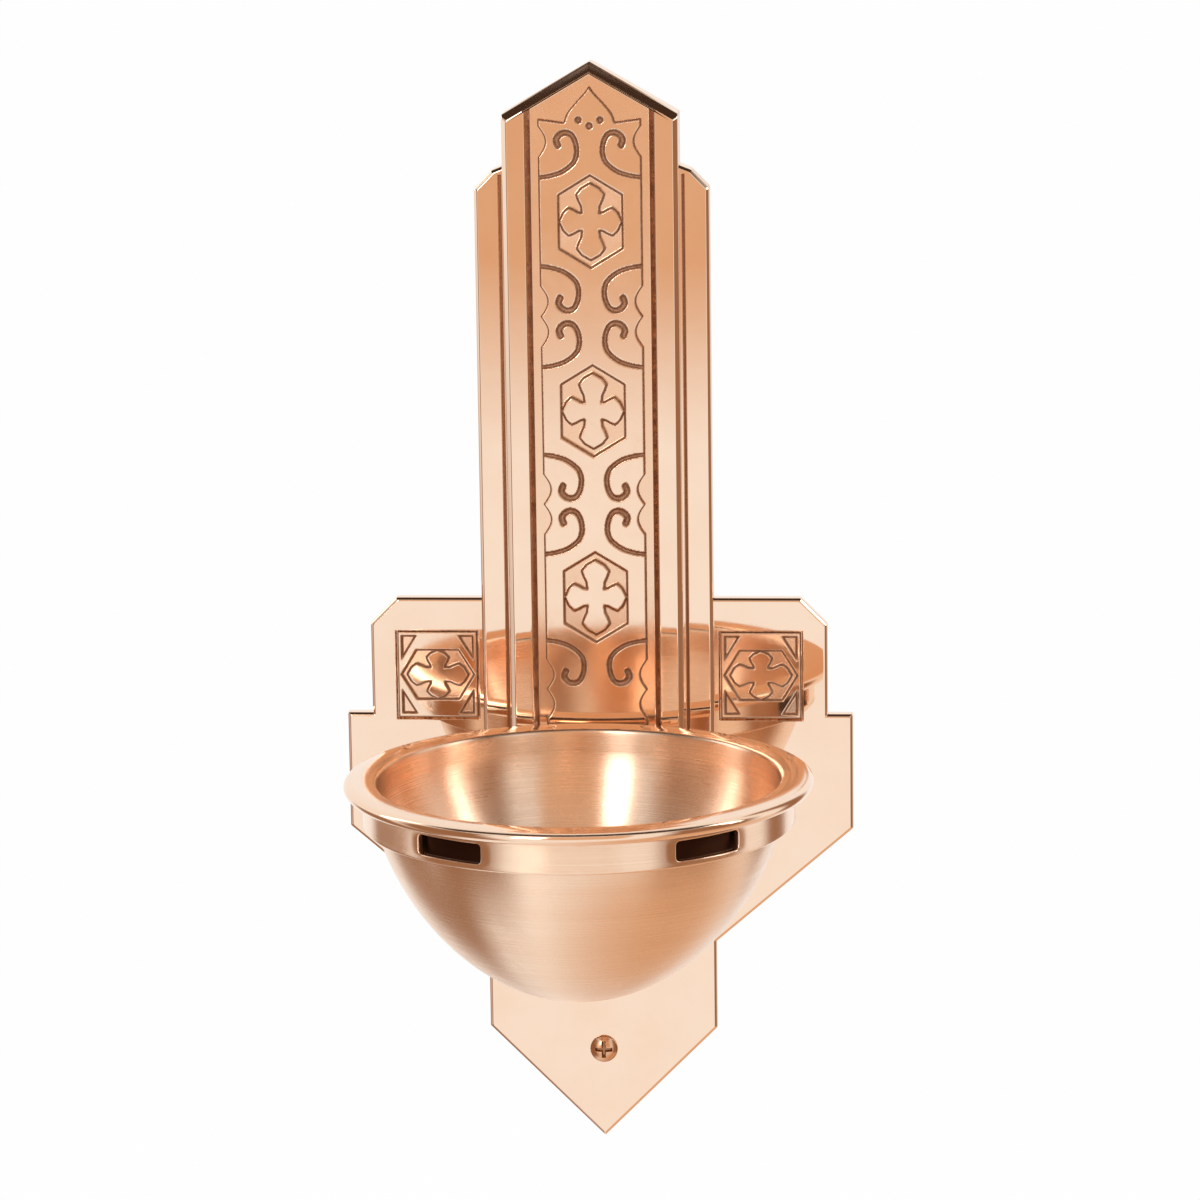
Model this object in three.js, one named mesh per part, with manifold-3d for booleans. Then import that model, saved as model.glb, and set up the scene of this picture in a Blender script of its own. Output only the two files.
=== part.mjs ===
import * as THREE from "three";
import { mergeVertices } from "three/addons/utils/BufferGeometryUtils.js";
import Module from "manifold-3d";

// A wall-hung holy water stoup in cast and spun bronze.
// Millimetres. X to the right, Y into the wall, Z up.
// The wall is the plane Y = 0 and the top of the bowl's rim is the plane Z = 0.

const wasm = await Module();
wasm.setup();
const { Manifold, Mesh } = wasm;

// Wall plate
const PLATE_THICK = 5;
const PLATE_BEVEL = 1.1;
const SKIRT_HALF = 101;
const SKIRT_HEIGHT = 46.8;
const SKIRT_STEP = 10;
const WING_TOP = 47;
const WING_CHAMFER = 10.6;
const TAIL_HALF = 46;
const TAIL_INNER_Z = -94;
const TAIL_CORNER_Z = -130;

// Column in two layers on the plate
const COLUMN_HALF = 46;
const BASE_THICK = 4.5;
const BASE_BEVEL = 1.3;
const BASE_LOW = -30;
const SHOULDER_BELOW_EAVES = 20.4;
const SHOULDER_DROP = 9;
const SHOULDER_RUN = 7;
const SHOULDER_BEND = 0.8;
const PILASTER_HALF = 34.4;
const PILASTER_THICK = 6;
const PILASTER_BEVEL = 2;
const PILASTER_LOW = -26;
const EAVES_Z = 240;
const GABLE_RISE = 20;
const GABLE_BEVEL = 3;

// Sunk panel in the pilaster and the ornament strip that lies in it
const PANEL_HALF = 25.4;
const PANEL_SLOPE = 2.2;
const PANEL_DEPTH = 2.6;
const PANEL_LOW = -3;
const PANEL_RIDGE = 0.5;
const STRIP_HALF = 20.2;
const STRIP_THICK = 1.8;
const STRIP_END_GAP = 0.4;
const RELIEF_DEPTH = 1.1;
const PITCH = 74.5;
const OGEE_DROP = 4.95;
const OGEE_HALF = 10;
const OGEE_RISE = 14;
const CORNER_RISE = 1.4;
const TOP_HEXAGON_DROP = 52.8;
const SCALLOP_DEPTH = 2.8;
const SCALLOP_HALF = 12;
const HEXAGON_HALF = 12.9;
const HEXAGON_SIDE = 10.7;
const HEXAGON_POINT = 18.6;
const CROSS_LONG = 14.6;
const CROSS_SHORT = 11.8;
const CROSS_NECK = 2.9;
const CROSS_FLARE = 5;
const SCROLL_WIDTH = 1.6;
const BUD_RADIUS = 1.3;
const BUD_SPREAD = 4.2;
const BUD_UP = 0.8;
const BUD_DOWN = 1.5;

// Wing tiles
const TILE_INNER_GAP = 2;
const TILE_OUTER_GAP = 10;
const TILE_LOW = -2.5;
const TILE_HEIGHT = 36;
const TILE_RECESS = 2.4;
const TILE_THICK = 1.8;
const TILE_GAP = 0.5;
const TILE_BORDER = 1.4;
const TILE_POINT_GAP = 0.95;
const TILE_CORNER_GAP = 2.4;

// Bowl
const RIM_OVERHANG = 10.7;
const RIM_WIDTH = 10.4;
const RIM_THICK = 5.2;
const BOWL_RADIUS = 78.3;
const BOWL_DEPTH = 87;
const BOWL_WALL = 1.8;
const BOWL_FLAT = 9.6;
const BOWL_POWER = 1.515;
const BOWL_STEPS = 9;
const TURN_STEPS = 56;

// Collar ring and its bracket
const RING_CLEARANCE = 1;
const RING_WALL = 2.6;
const RING_HEIGHT = 12.6;
const WINDOW_COUNT = 4;
const WINDOW_STEP = 72;
const WINDOW_TURN = 4.5;
const WINDOW_WIDTH = 29;
const WINDOW_HEIGHT = 7.6;
const WINDOW_CORNER = 1.6;
const RIM_TO_COLUMN = 2;
const BRACKET_HALF = 16;
const BRACKET_INSET = 0.8;
const BRAZE_GAP = 0.15;

// Fasteners
const PILASTER_SCREW_RADIUS = 2;
const BRACKET_SCREW_RADIUS = 2.5;
const BRACKET_SCREW_X = 9;
const SCREW_CLEARANCE = 0.3;
const SCREW_COVER = 2;
const SCREW_TO_END = 25;
const RIVET_RADIUS = 1.25;
const RIVET_BITE = 0.6;
const RIVET_TIP_GAP = 0.1;
const WALL_SCREW_Z = -139;
const WALL_SCREW_HEAD = 5.5;
const WALL_SCREW_RISE = 2.6;
const WALL_SCREW_RADIUS = 2.6;
const WALL_SCREW_LENGTH = 32;
const KEYHOLE_ENTRY = 5.5;
const KEYHOLE_NECK = 2.8;
const KEYHOLE_TRAVEL = 11;
const KEYHOLE_BELOW_EAVES = 22;
const KEYHOLE_ROOM = 1;

// Levels and places that follow from the sizes above
const plateFront = -PLATE_THICK;
const baseFront = plateFront - BASE_THICK;
const pilasterFront = baseFront - PILASTER_THICK;
const panelFloor = pilasterFront + PANEL_DEPTH;
const tileFloor = plateFront + TILE_RECESS;
const tileFront = tileFloor - TILE_THICK;
const gableApex = EAVES_Z + GABLE_RISE;
const gableSlope = GABLE_RISE / PILASTER_HALF;
const panelApex = gableApex - (GABLE_BEVEL + PANEL_RIDGE) * Math.hypot(1, gableSlope);
const stripFront = panelFloor - STRIP_THICK;
const stripLow = PANEL_LOW + STRIP_END_GAP;
const ogeeApex = panelApex - OGEE_DROP;
const ogeeFoot = ogeeApex - OGEE_RISE;
const topHexagon = ogeeApex - TOP_HEXAGON_DROP;
const topGroup = topHexagon + PITCH / 2;
const wingHalf = SKIRT_HALF - SKIRT_STEP;
const shoulderTop = EAVES_Z - SHOULDER_BELOW_EAVES;
const shoulderLow = shoulderTop - SHOULDER_DROP;
const rimRadius = BOWL_RADIUS + RIM_OVERHANG;
const bowlY = pilasterFront - RIM_TO_COLUMN - rimRadius;
const ringTop = -RIM_THICK;
const ringLow = ringTop - RING_HEIGHT;
const ringMiddle = (ringTop + ringLow) / 2;
const ringInner = BOWL_RADIUS + RING_CLEARANCE;
const ringOuter = ringInner + RING_WALL;
const recessHalfX = (wingHalf - TILE_OUTER_GAP - COLUMN_HALF - TILE_INNER_GAP) / 2;
const tileX = COLUMN_HALF + TILE_INNER_GAP + recessHalfX;
const tileZ = TILE_LOW + TILE_HEIGHT / 2;
const tileHalfX = recessHalfX - TILE_GAP;
const tileHalfZ = TILE_HEIGHT / 2 - TILE_GAP;
const tileScale = (tileHalfX - TILE_POINT_GAP) / HEXAGON_POINT;

const POLISHED = { color: 0xd99a6c, metalness: 1, roughness: 0.2 };
const SPUN = { color: 0xdc9f70, metalness: 1, roughness: 0.32 };
const CAST = { color: 0xcf8d5e, metalness: 1, roughness: 0.35 };
const SCREW_METAL = { color: 0xb06a42, metalness: 1, roughness: 0.4 };

const SCREW_STEPS = 14;
const PAST = 1;

// A closed geometry as a solid that can be cut and joined.
function solidOf(geometry) {
  const bare = new THREE.BufferGeometry();
  bare.setAttribute("position", geometry.getAttribute("position"));
  bare.setIndex(geometry.getIndex());
  const merged = mergeVertices(bare, 1e-4);
  const index = merged.getIndex().array;
  const kept = [];
  for (let i = 0; i < index.length; i += 3) {
    const [a, b, c] = [index[i], index[i + 1], index[i + 2]];
    if (a !== b && b !== c && a !== c) {
      kept.push(a, b, c);
    }
  }
  const vertProperties = merged.getAttribute("position").array;
  return new Manifold(new Mesh({ numProp: 3, vertProperties, triVerts: new Uint32Array(kept) }));
}

function geometryOf(solid) {
  const mesh = solid.getMesh();
  const geometry = new THREE.BufferGeometry();
  geometry.setAttribute("position", new THREE.BufferAttribute(mesh.vertProperties, 3));
  geometry.setIndex(new THREE.BufferAttribute(mesh.triVerts, 1));
  geometry.computeVertexNormals();
  return geometry;
}

// A slab of an outline in X and Z: its back lies at backY and its front edges are bevelled.
function slab(outline, backY, thick, bevel = 0) {
  const shape = new THREE.Shape(outline.map(([x, z]) => new THREE.Vector2(x, z)));
  const geometry = new THREE.ExtrudeGeometry(shape, {
    depth: thick - bevel,
    bevelEnabled: bevel > 0,
    bevelThickness: bevel,
    bevelSize: bevel,
    bevelOffset: -bevel,
    bevelSegments: 1,
  });
  const whole = solidOf(geometry);
  const flatBacked = bevel > 0 ? whole.trimByPlane([0, 0, 1], 0) : whole;
  return flatBacked.rotate([90, 0, 0]).translate([0, backY, 0]);
}

// A right half outline from the lowest point up, closed by its mirror image.
function mirrored(half) {
  const left = half.filter(([x]) => x > 0).map(([x, z]) => [-x, z]);
  return [...half, ...left.reverse()];
}

// A profile of radius and height turned about Z.
function turned(profile, steps) {
  const points = profile.map(([r, z]) => new THREE.Vector2(r, z));
  return solidOf(new THREE.LatheGeometry(points, steps)).rotate([90, 0, 0]);
}

// A profile of radius and depth turned about Y, at a place on the plate.
function turnedOnPlate(profile, x, z) {
  const points = profile.map(([r, y]) => new THREE.Vector2(r, y));
  return solidOf(new THREE.LatheGeometry(points, SCREW_STEPS)).translate([x, 0, z]);
}

function block(low, high) {
  const size = high.map((value, i) => value - low[i]);
  return Manifold.cube(size).translate(low);
}

function sized(outline, x, z) {
  return outline.map(([u, v]) => [u + x, v + z]);
}

function rectangle(halfX, halfZ) {
  return [
    [-halfX, -halfZ],
    [halfX, -halfZ],
    [halfX, halfZ],
    [-halfX, halfZ],
  ];
}

function circle(radius, steps) {
  const points = [];
  for (let i = 0; i < steps; i += 1) {
    const turn = (2 * Math.PI * i) / steps;
    points.push([radius * Math.cos(turn), radius * Math.sin(turn)]);
  }
  return points;
}

// A stadium that stands upright, from its lower centre to its upper one.
function stadium(radius, travel, steps) {
  const points = [];
  for (let i = 0; i <= steps; i += 1) {
    const turn = Math.PI + (Math.PI * i) / steps;
    points.push([radius * Math.cos(turn), radius * Math.sin(turn)]);
  }
  for (let i = 0; i <= steps; i += 1) {
    const turn = (Math.PI * i) / steps;
    points.push([radius * Math.cos(turn), travel + radius * Math.sin(turn)]);
  }
  return points;
}

// Ornament outlines, each round its own centre

function hexagon(half, side, point) {
  return mirrored([
    [0, -point],
    [half, -side],
    [half, side],
    [0, point],
  ]);
}

// A cross whose four arms flare from a narrow neck and end in a blunt point.
function flaredCross(tall, wide) {
  const arm = (reach) => [
    [CROSS_NECK, CROSS_NECK],
    [CROSS_NECK + 0.3, reach * 0.42],
    [CROSS_FLARE * 0.86, reach * 0.58],
    [CROSS_FLARE, reach * 0.72],
    [CROSS_FLARE * 0.66, reach * 0.87],
    [0, reach],
    [-CROSS_FLARE * 0.66, reach * 0.87],
    [-CROSS_FLARE, reach * 0.72],
    [-CROSS_FLARE * 0.86, reach * 0.58],
    [-CROSS_NECK - 0.3, reach * 0.42],
  ];
  const up = arm(tall);
  const left = arm(wide).map(([u, v]) => [-v, u]);
  const down = up.map(([u, v]) => [-u, -v]);
  const right = left.map(([u, v]) => [-u, -v]);
  return [...up, ...left, ...down, ...right];
}

// The line of one lower right scroll, from its curled end to the edge of the strip.
const SCROLL_LINE = [
  [12.3, -7.4],
  [12.9, -5.2],
  [11.4, -3.2],
  [9.2, -2.5],
  [7, -3.4],
  [5.5, -6.2],
  [5, -10],
  [6.2, -14],
  [10.4, -17.5],
  [15.2, -19.2],
  [18.6, -19.8],
];

// A scroll line with a width, as an outline.
function scrollOutline(sideX, sideZ) {
  const curve = new THREE.SplineCurve(SCROLL_LINE.map(([u, v]) => new THREE.Vector2(u, v)));
  const steps = 12;
  const near = [];
  const far = [];
  for (let i = 0; i <= steps; i += 1) {
    const at = curve.getPoint(i / steps);
    const along = curve.getTangent(i / steps);
    const half = SCROLL_WIDTH / 2;
    near.push([sideX * (at.x - half * along.y), sideZ * (at.y + half * along.x)]);
    far.push([sideX * (at.x + half * along.y), sideZ * (at.y - half * along.x)]);
  }
  const outline = [...near, ...far.reverse()];
  return sideX * sideZ > 0 ? outline.reverse() : outline;
}

const scrollDepth = Math.max(...SCROLL_LINE.map(([, v]) => -v)) + SCROLL_WIDTH;

const groupHeights = [];
for (let z = topGroup; z - SCALLOP_HALF > stripLow; z -= PITCH) {
  groupHeights.push(z);
}
const hexagonHeights = [];
for (let z = topHexagon; z - HEXAGON_POINT > stripLow; z -= PITCH) {
  hexagonHeights.push(z);
}

// The strip's right half: two scallops beside each scroll group, one beside the top group,
// shoulders that rise to their corners, and the ogee.
function stripOutline() {
  const half = [[STRIP_HALF, stripLow]];
  const steps = 6;
  for (const group of [...groupHeights].reverse()) {
    for (let i = -steps; i <= steps; i += 1) {
      const v = (i / steps) * SCALLOP_HALF;
      const z = group + v;
      const onlyBelow = group + SCALLOP_HALF > ogeeFoot;
      if (z > stripLow + STRIP_END_GAP && (v <= 0 || !onlyBelow)) {
        half.push([STRIP_HALF - SCALLOP_DEPTH * Math.abs(Math.sin((Math.PI * v) / SCALLOP_HALF)), z]);
      }
    }
  }
  half.push([STRIP_HALF, ogeeFoot + CORNER_RISE]);
  half.push([OGEE_HALF, ogeeFoot]);
  half.push([OGEE_HALF * 0.93, ogeeFoot + OGEE_RISE * 0.16]);
  half.push([OGEE_HALF * 0.8, ogeeFoot + OGEE_RISE * 0.32]);
  half.push([OGEE_HALF * 0.5, ogeeFoot + OGEE_RISE * 0.57]);
  half.push([OGEE_HALF * 0.2, ogeeFoot + OGEE_RISE * 0.8]);
  half.push([0, ogeeApex]);
  const left = half.filter(([x]) => x > 0).map(([x, z]) => [-x, z]);
  return [...half, ...left.reverse()];
}

// Fastener profiles

function countersunk(radius, length) {
  const head = radius * 2;
  return [
    [0, -length],
    [radius * 0.7, -length],
    [radius, -length + radius * 0.5],
    [radius, -radius],
    [head, -radius * 0.1],
    [head, 0],
    [0, 0],
  ];
}

function countersunkHole(radius, depth) {
  const room = radius + SCREW_CLEARANCE;
  const head = radius * 2 + SCREW_CLEARANCE;
  return [
    [0, -depth],
    [room, -depth],
    [room, -radius - SCREW_CLEARANCE],
    [head, -radius * 0.1],
    [head, PAST],
    [0, PAST],
  ];
}

function shifted(profile, y) {
  return profile.map(([r, depth]) => [r, depth + y]);
}

function slottedScrew(radius, length, x, z) {
  const screw = turnedOnPlate(countersunk(radius, length), x, z);
  const slotHalf = radius * 0.25;
  const reach = radius * 3;
  const slot = block([x - reach, -radius * 0.5, z - slotHalf], [x + reach, PAST, z + slotHalf]);
  return screw.subtract(slot);
}

const group = new THREE.Group();
group.name = "holy_water_stoup";

function add(name, solid, look) {
  const mesh = new THREE.Mesh(geometryOf(solid), new THREE.MeshStandardMaterial(look));
  mesh.name = name;
  group.add(mesh);
}

// Places of the fasteners
const pilasterScrewX = (PANEL_HALF + PILASTER_HALF - PILASTER_BEVEL) / 2;
const pilasterScrewPlaces = [];
for (const z of [SCREW_TO_END, EAVES_Z - SCREW_TO_END]) {
  pilasterScrewPlaces.push([-pilasterScrewX, z], [pilasterScrewX, z]);
}
const bracketScrewPlaces = [
  [-BRACKET_SCREW_X, ringMiddle],
  [BRACKET_SCREW_X, ringMiddle],
];
const tileRivetRise = (HEXAGON_HALF * tileScale + tileHalfZ) / 2;
const tileRivetPlaces = [];
for (const side of [-1, 1]) {
  for (const rise of [-tileRivetRise, tileRivetRise]) {
    tileRivetPlaces.push([side * tileX, tileZ + rise]);
  }
}
const stripRivetPlaces = hexagonHeights.map((z) => [0, z]);
const pilasterScrewLength = PLATE_THICK + BASE_THICK + PILASTER_THICK - SCREW_COVER;
const bracketDepth = RIM_TO_COLUMN + rimRadius - ringOuter - BRAZE_GAP;
const bracketScrewLength = PLATE_THICK + BASE_THICK + PILASTER_THICK + bracketDepth - SCREW_COVER;
const keyholeZ = EAVES_Z - KEYHOLE_BELOW_EAVES;

// Wall plate
const gableHalf = [
  [COLUMN_HALF, shoulderLow],
  [COLUMN_HALF - SHOULDER_RUN, shoulderLow + SHOULDER_DROP * SHOULDER_BEND],
  [PILASTER_HALF, shoulderTop],
  [PILASTER_HALF, EAVES_Z],
  [0, gableApex],
];
const plateOutline = mirrored([
  [0, TAIL_CORNER_Z - TAIL_HALF],
  [TAIL_HALF, TAIL_CORNER_Z],
  [TAIL_HALF, TAIL_INNER_Z],
  [SKIRT_HALF, -SKIRT_HEIGHT],
  [SKIRT_HALF, 0],
  [wingHalf, 0],
  [wingHalf, WING_TOP - WING_CHAMFER],
  [wingHalf - WING_CHAMFER, WING_TOP],
  [COLUMN_HALF, WING_TOP],
  ...gableHalf,
]);
let plate = slab(plateOutline, 0, PLATE_THICK, PLATE_BEVEL);
for (const side of [-1, 1]) {
  const recess = sized(rectangle(recessHalfX, TILE_HEIGHT / 2), side * tileX, tileZ);
  plate = plate.subtract(slab(recess, tileFloor, TILE_RECESS + PAST));
}
const throughPlate = PLATE_THICK + PAST;
for (const [x, z] of pilasterScrewPlaces) {
  plate = plate.subtract(turnedOnPlate(countersunkHole(PILASTER_SCREW_RADIUS, throughPlate), x, z));
}
for (const [x, z] of bracketScrewPlaces) {
  plate = plate.subtract(turnedOnPlate(countersunkHole(BRACKET_SCREW_RADIUS, throughPlate), x, z));
}
for (const [x, z] of tileRivetPlaces) {
  plate = plate.subtract(turnedOnPlate(countersunkHole(RIVET_RADIUS, throughPlate), x, z));
}
const wallHole = sized(circle(WALL_SCREW_RADIUS + SCREW_CLEARANCE, SCREW_STEPS), 0, WALL_SCREW_Z);
plate = plate.subtract(slab(wallHole, PAST, PLATE_THICK + 2 * PAST));
const entry = sized(circle(KEYHOLE_ENTRY, SCREW_STEPS), 0, keyholeZ);
const neck = sized(stadium(KEYHOLE_NECK, KEYHOLE_TRAVEL, SCREW_STEPS / 2), 0, keyholeZ);
plate = plate.subtract(slab(entry, PAST, PLATE_THICK + 2 * PAST));
plate = plate.subtract(slab(neck, PAST, PLATE_THICK + 2 * PAST));
add("back_plate", plate, POLISHED);

// Column base
const baseOutline = mirrored([[0, BASE_LOW], [COLUMN_HALF, BASE_LOW], ...gableHalf]);
let base = slab(baseOutline, plateFront, BASE_THICK, BASE_BEVEL);
const throughBase = BASE_THICK + 2 * PAST;
for (const [places, radius] of [
  [pilasterScrewPlaces, PILASTER_SCREW_RADIUS],
  [bracketScrewPlaces, BRACKET_SCREW_RADIUS],
]) {
  for (const [x, z] of places) {
    const hole = sized(circle(radius + SCREW_CLEARANCE, SCREW_STEPS), x, z);
    base = base.subtract(slab(hole, plateFront + PAST, throughBase));
  }
}
const headRoom = stadium(KEYHOLE_ENTRY + KEYHOLE_ROOM, KEYHOLE_TRAVEL, SCREW_STEPS / 2);
base = base.subtract(slab(sized(headRoom, 0, keyholeZ), plateFront + PAST, throughBase));
add("column_base", base, POLISHED);

// Centre pilaster with its sunk panel, whose long walls slope
const pilasterOutline = mirrored([
  [0, PILASTER_LOW],
  [PILASTER_HALF, PILASTER_LOW],
  [PILASTER_HALF, EAVES_Z],
  [0, gableApex],
]);
const panelOutline = mirrored([
  [0, PANEL_LOW],
  [PANEL_HALF, PANEL_LOW],
  [PANEL_HALF, panelApex - PANEL_HALF * gableSlope],
  [0, panelApex],
]);
const panelFloorHalf = PANEL_HALF - PANEL_SLOPE;
const panelFloorOutline = mirrored([
  [0, PANEL_LOW],
  [panelFloorHalf, PANEL_LOW],
  [panelFloorHalf, panelApex - panelFloorHalf * gableSlope],
  [0, panelApex],
]);
const panelReach = PANEL_DEPTH + PAST;
const slopedPanel = slab(panelOutline, 0, panelReach, PANEL_SLOPE)
  .mirror([0, 1, 0])
  .translate([0, panelFloor - panelReach, 0]);
let pilaster = slab(pilasterOutline, baseFront, PILASTER_THICK, PILASTER_BEVEL);
const gableWidth = Math.hypot(PILASTER_HALF, GABLE_RISE);
for (const side of [-1, 1]) {
  const outward = [(side * GABLE_RISE) / gableWidth, PILASTER_HALF / gableWidth];
  const bevelPlane = [-outward[0], 1, -outward[1]].map((value) => value / Math.SQRT2);
  const reach = GABLE_BEVEL - gableApex * outward[1] + pilasterFront;
  pilaster = pilaster.trimByPlane(bevelPlane, reach / Math.SQRT2);
}
pilaster = pilaster.subtract(slopedPanel);
pilaster = pilaster.subtract(slab(panelFloorOutline, panelFloor, panelReach));
const blindHole = PILASTER_THICK - SCREW_COVER + SCREW_CLEARANCE;
for (const [x, z] of pilasterScrewPlaces) {
  const hole = sized(circle(PILASTER_SCREW_RADIUS + SCREW_CLEARANCE, SCREW_STEPS), x, z);
  pilaster = pilaster.subtract(slab(hole, baseFront + PAST, blindHole + PAST));
}
for (const [x, z] of bracketScrewPlaces) {
  const hole = sized(circle(BRACKET_SCREW_RADIUS + SCREW_CLEARANCE, SCREW_STEPS), x, z);
  pilaster = pilaster.subtract(slab(hole, baseFront + PAST, PILASTER_THICK + 2 * PAST));
}
for (const [x, z] of stripRivetPlaces) {
  const hole = shifted(countersunkHole(RIVET_RADIUS, PILASTER_THICK), baseFront);
  pilaster = pilaster.subtract(turnedOnPlate(hole, x, z));
}
add("centre_pilaster", pilaster, POLISHED);

// Ornament strip: hexagons with a flared cross, and four scrolls in each group between them
function sunk(outline, front) {
  return slab(outline, front + RELIEF_DEPTH, RELIEF_DEPTH + PAST);
}
let strip = slab(stripOutline(), panelFloor, STRIP_THICK);
const crossOutline = flaredCross(CROSS_LONG, CROSS_SHORT);
for (const z of hexagonHeights) {
  const frame = sized(hexagon(HEXAGON_HALF, HEXAGON_SIDE, HEXAGON_POINT), 0, z);
  strip = strip.subtract(sunk(frame, stripFront).subtract(sunk(sized(crossOutline, 0, z), stripFront)));
}
for (const z of groupHeights) {
  for (const sideZ of [-1, 1]) {
    const end = z - sideZ * scrollDepth;
    if (end > stripLow && end < ogeeFoot) {
      for (const sideX of [-1, 1]) {
        strip = strip.subtract(sunk(sized(scrollOutline(sideX, sideZ), 0, z), stripFront));
      }
    }
  }
}
for (const [x, z] of [
  [-BUD_SPREAD, BUD_UP],
  [0, -BUD_DOWN],
  [BUD_SPREAD, BUD_UP],
]) {
  strip = strip.subtract(sunk(sized(circle(BUD_RADIUS, 10), x, ogeeFoot + z), stripFront));
}
for (const [x, z] of stripRivetPlaces) {
  const hole = sized(circle(RIVET_RADIUS + SCREW_CLEARANCE, SCREW_STEPS), x, z);
  strip = strip.subtract(slab(hole, panelFloor + PAST, RIVET_BITE + RIVET_TIP_GAP + PAST));
}
add("ornament_strip", strip, CAST);

// Wing tiles: the strip's hexagon and cross laid on their side, with sunk corners
function onItsSide(outline) {
  return outline.map(([u, v]) => [-v * tileScale, u * tileScale]);
}
function cornerPocket(sideX, sideZ) {
  const farX = tileHalfX - TILE_BORDER;
  const farZ = tileHalfZ - TILE_BORDER;
  const pointX = HEXAGON_POINT * tileScale;
  const slope = (HEXAGON_HALF * tileScale) / (pointX - HEXAGON_SIDE * tileScale);
  const offset = TILE_CORNER_GAP * Math.hypot(1, 1 / slope);
  const outline = [
    [farX, (pointX + offset - farX) * slope],
    [farX, farZ],
    [pointX + offset - farZ / slope, farZ],
  ].map(([u, v]) => [sideX * u, sideZ * v]);
  return sideX * sideZ > 0 ? outline : outline.reverse();
}
const tileCross = onItsSide(crossOutline);
const tileHexagon = onItsSide(hexagon(HEXAGON_HALF, HEXAGON_SIDE, HEXAGON_POINT));
for (const [name, side] of [
  ["left_wing_tile", -1],
  ["right_wing_tile", 1],
]) {
  const x = side * tileX;
  let tile = slab(sized(rectangle(tileHalfX, tileHalfZ), x, tileZ), tileFloor, TILE_THICK);
  const cross = sunk(sized(tileCross, x, tileZ), tileFront);
  tile = tile.subtract(sunk(sized(tileHexagon, x, tileZ), tileFront).subtract(cross));
  for (const sideX of [-1, 1]) {
    for (const sideZ of [-1, 1]) {
      tile = tile.subtract(sunk(sized(cornerPocket(sideX, sideZ), x, tileZ), tileFront));
    }
  }
  for (const [rivetX, rivetZ] of tileRivetPlaces.filter(([place]) => place * side > 0)) {
    const hole = sized(circle(RIVET_RADIUS + SCREW_CLEARANCE, SCREW_STEPS), rivetX, rivetZ);
    tile = tile.subtract(slab(hole, tileFloor + PAST, RIVET_BITE + RIVET_TIP_GAP + PAST));
  }
  add(name, tile, CAST);
}

// Bowl: one spun wall with a round rim, hung in the ring by the underside of the rim
function bowlWall(radius, depth) {
  const points = [];
  for (let i = 0; i <= BOWL_STEPS; i += 1) {
    const left = 1 - i / BOWL_STEPS;
    const t = 1 - left * left;
    points.push([radius * Math.sqrt(1 - Math.pow(t, BOWL_POWER)), -BOWL_FLAT - depth * t]);
  }
  points[BOWL_STEPS][0] = 0;
  return points;
}
function quarter(centreR, centreZ, radius, from, to) {
  const points = [];
  const steps = 3;
  for (let i = 0; i <= steps; i += 1) {
    const turn = (from + ((to - from) * i) / steps) * THREE.MathUtils.DEG2RAD;
    points.push([centreR + radius * Math.cos(turn), centreZ + radius * Math.sin(turn)]);
  }
  return points;
}
const wallInner = BOWL_RADIUS - BOWL_WALL;
const curveDepth = BOWL_DEPTH - BOWL_FLAT;
const lip = rimRadius - RIM_WIDTH - wallInner;
const rimHalf = RIM_THICK / 2;
const bowlProfile = [
  ...bowlWall(BOWL_RADIUS, curveDepth).reverse(),
  [BOWL_RADIUS, ringTop],
  ...quarter(rimRadius - rimHalf, -rimHalf, rimHalf, -90, 0),
  ...quarter(rimRadius - rimHalf, -rimHalf, rimHalf, 0, 90).slice(1),
  ...quarter(wallInner + lip, -lip, lip, 90, 180),
  ...bowlWall(wallInner, curveDepth - BOWL_WALL),
];
add("bowl", turned(bowlProfile, TURN_STEPS).translate([0, bowlY, 0]), SPUN);

// Collar ring, pierced by windows at a fifth of a turn, the bracket taking the fifth place
const ringEdge = RING_WALL / 3;
let ring = turned(
  [
    [ringInner, ringLow],
    [ringOuter - ringEdge, ringLow],
    [ringOuter, ringLow + ringEdge],
    [ringOuter, ringTop],
    [ringInner, ringTop],
    [ringInner, ringLow],
  ],
  TURN_STEPS,
);
function windowOutline() {
  const x = WINDOW_WIDTH / 2 - WINDOW_CORNER;
  const z = WINDOW_HEIGHT / 2 - WINDOW_CORNER;
  return [
    ...quarter(x, z, WINDOW_CORNER, 0, 90),
    ...quarter(-x, z, WINDOW_CORNER, 90, 180),
    ...quarter(-x, -z, WINDOW_CORNER, 180, 270),
    ...quarter(x, -z, WINDOW_CORNER, 270, 360),
  ];
}
const windowTool = slab(sized(windowOutline(), 0, ringMiddle), -ringInner * 0.9, ringOuter * 0.2);
for (let i = 0; i < WINDOW_COUNT; i += 1) {
  const turn = (i - (WINDOW_COUNT - 1) / 2) * WINDOW_STEP + WINDOW_TURN;
  ring = ring.subtract(windowTool.rotate([0, 0, turn]));
}
add("collar_ring", ring.translate([0, bowlY, 0]), POLISHED);

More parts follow.
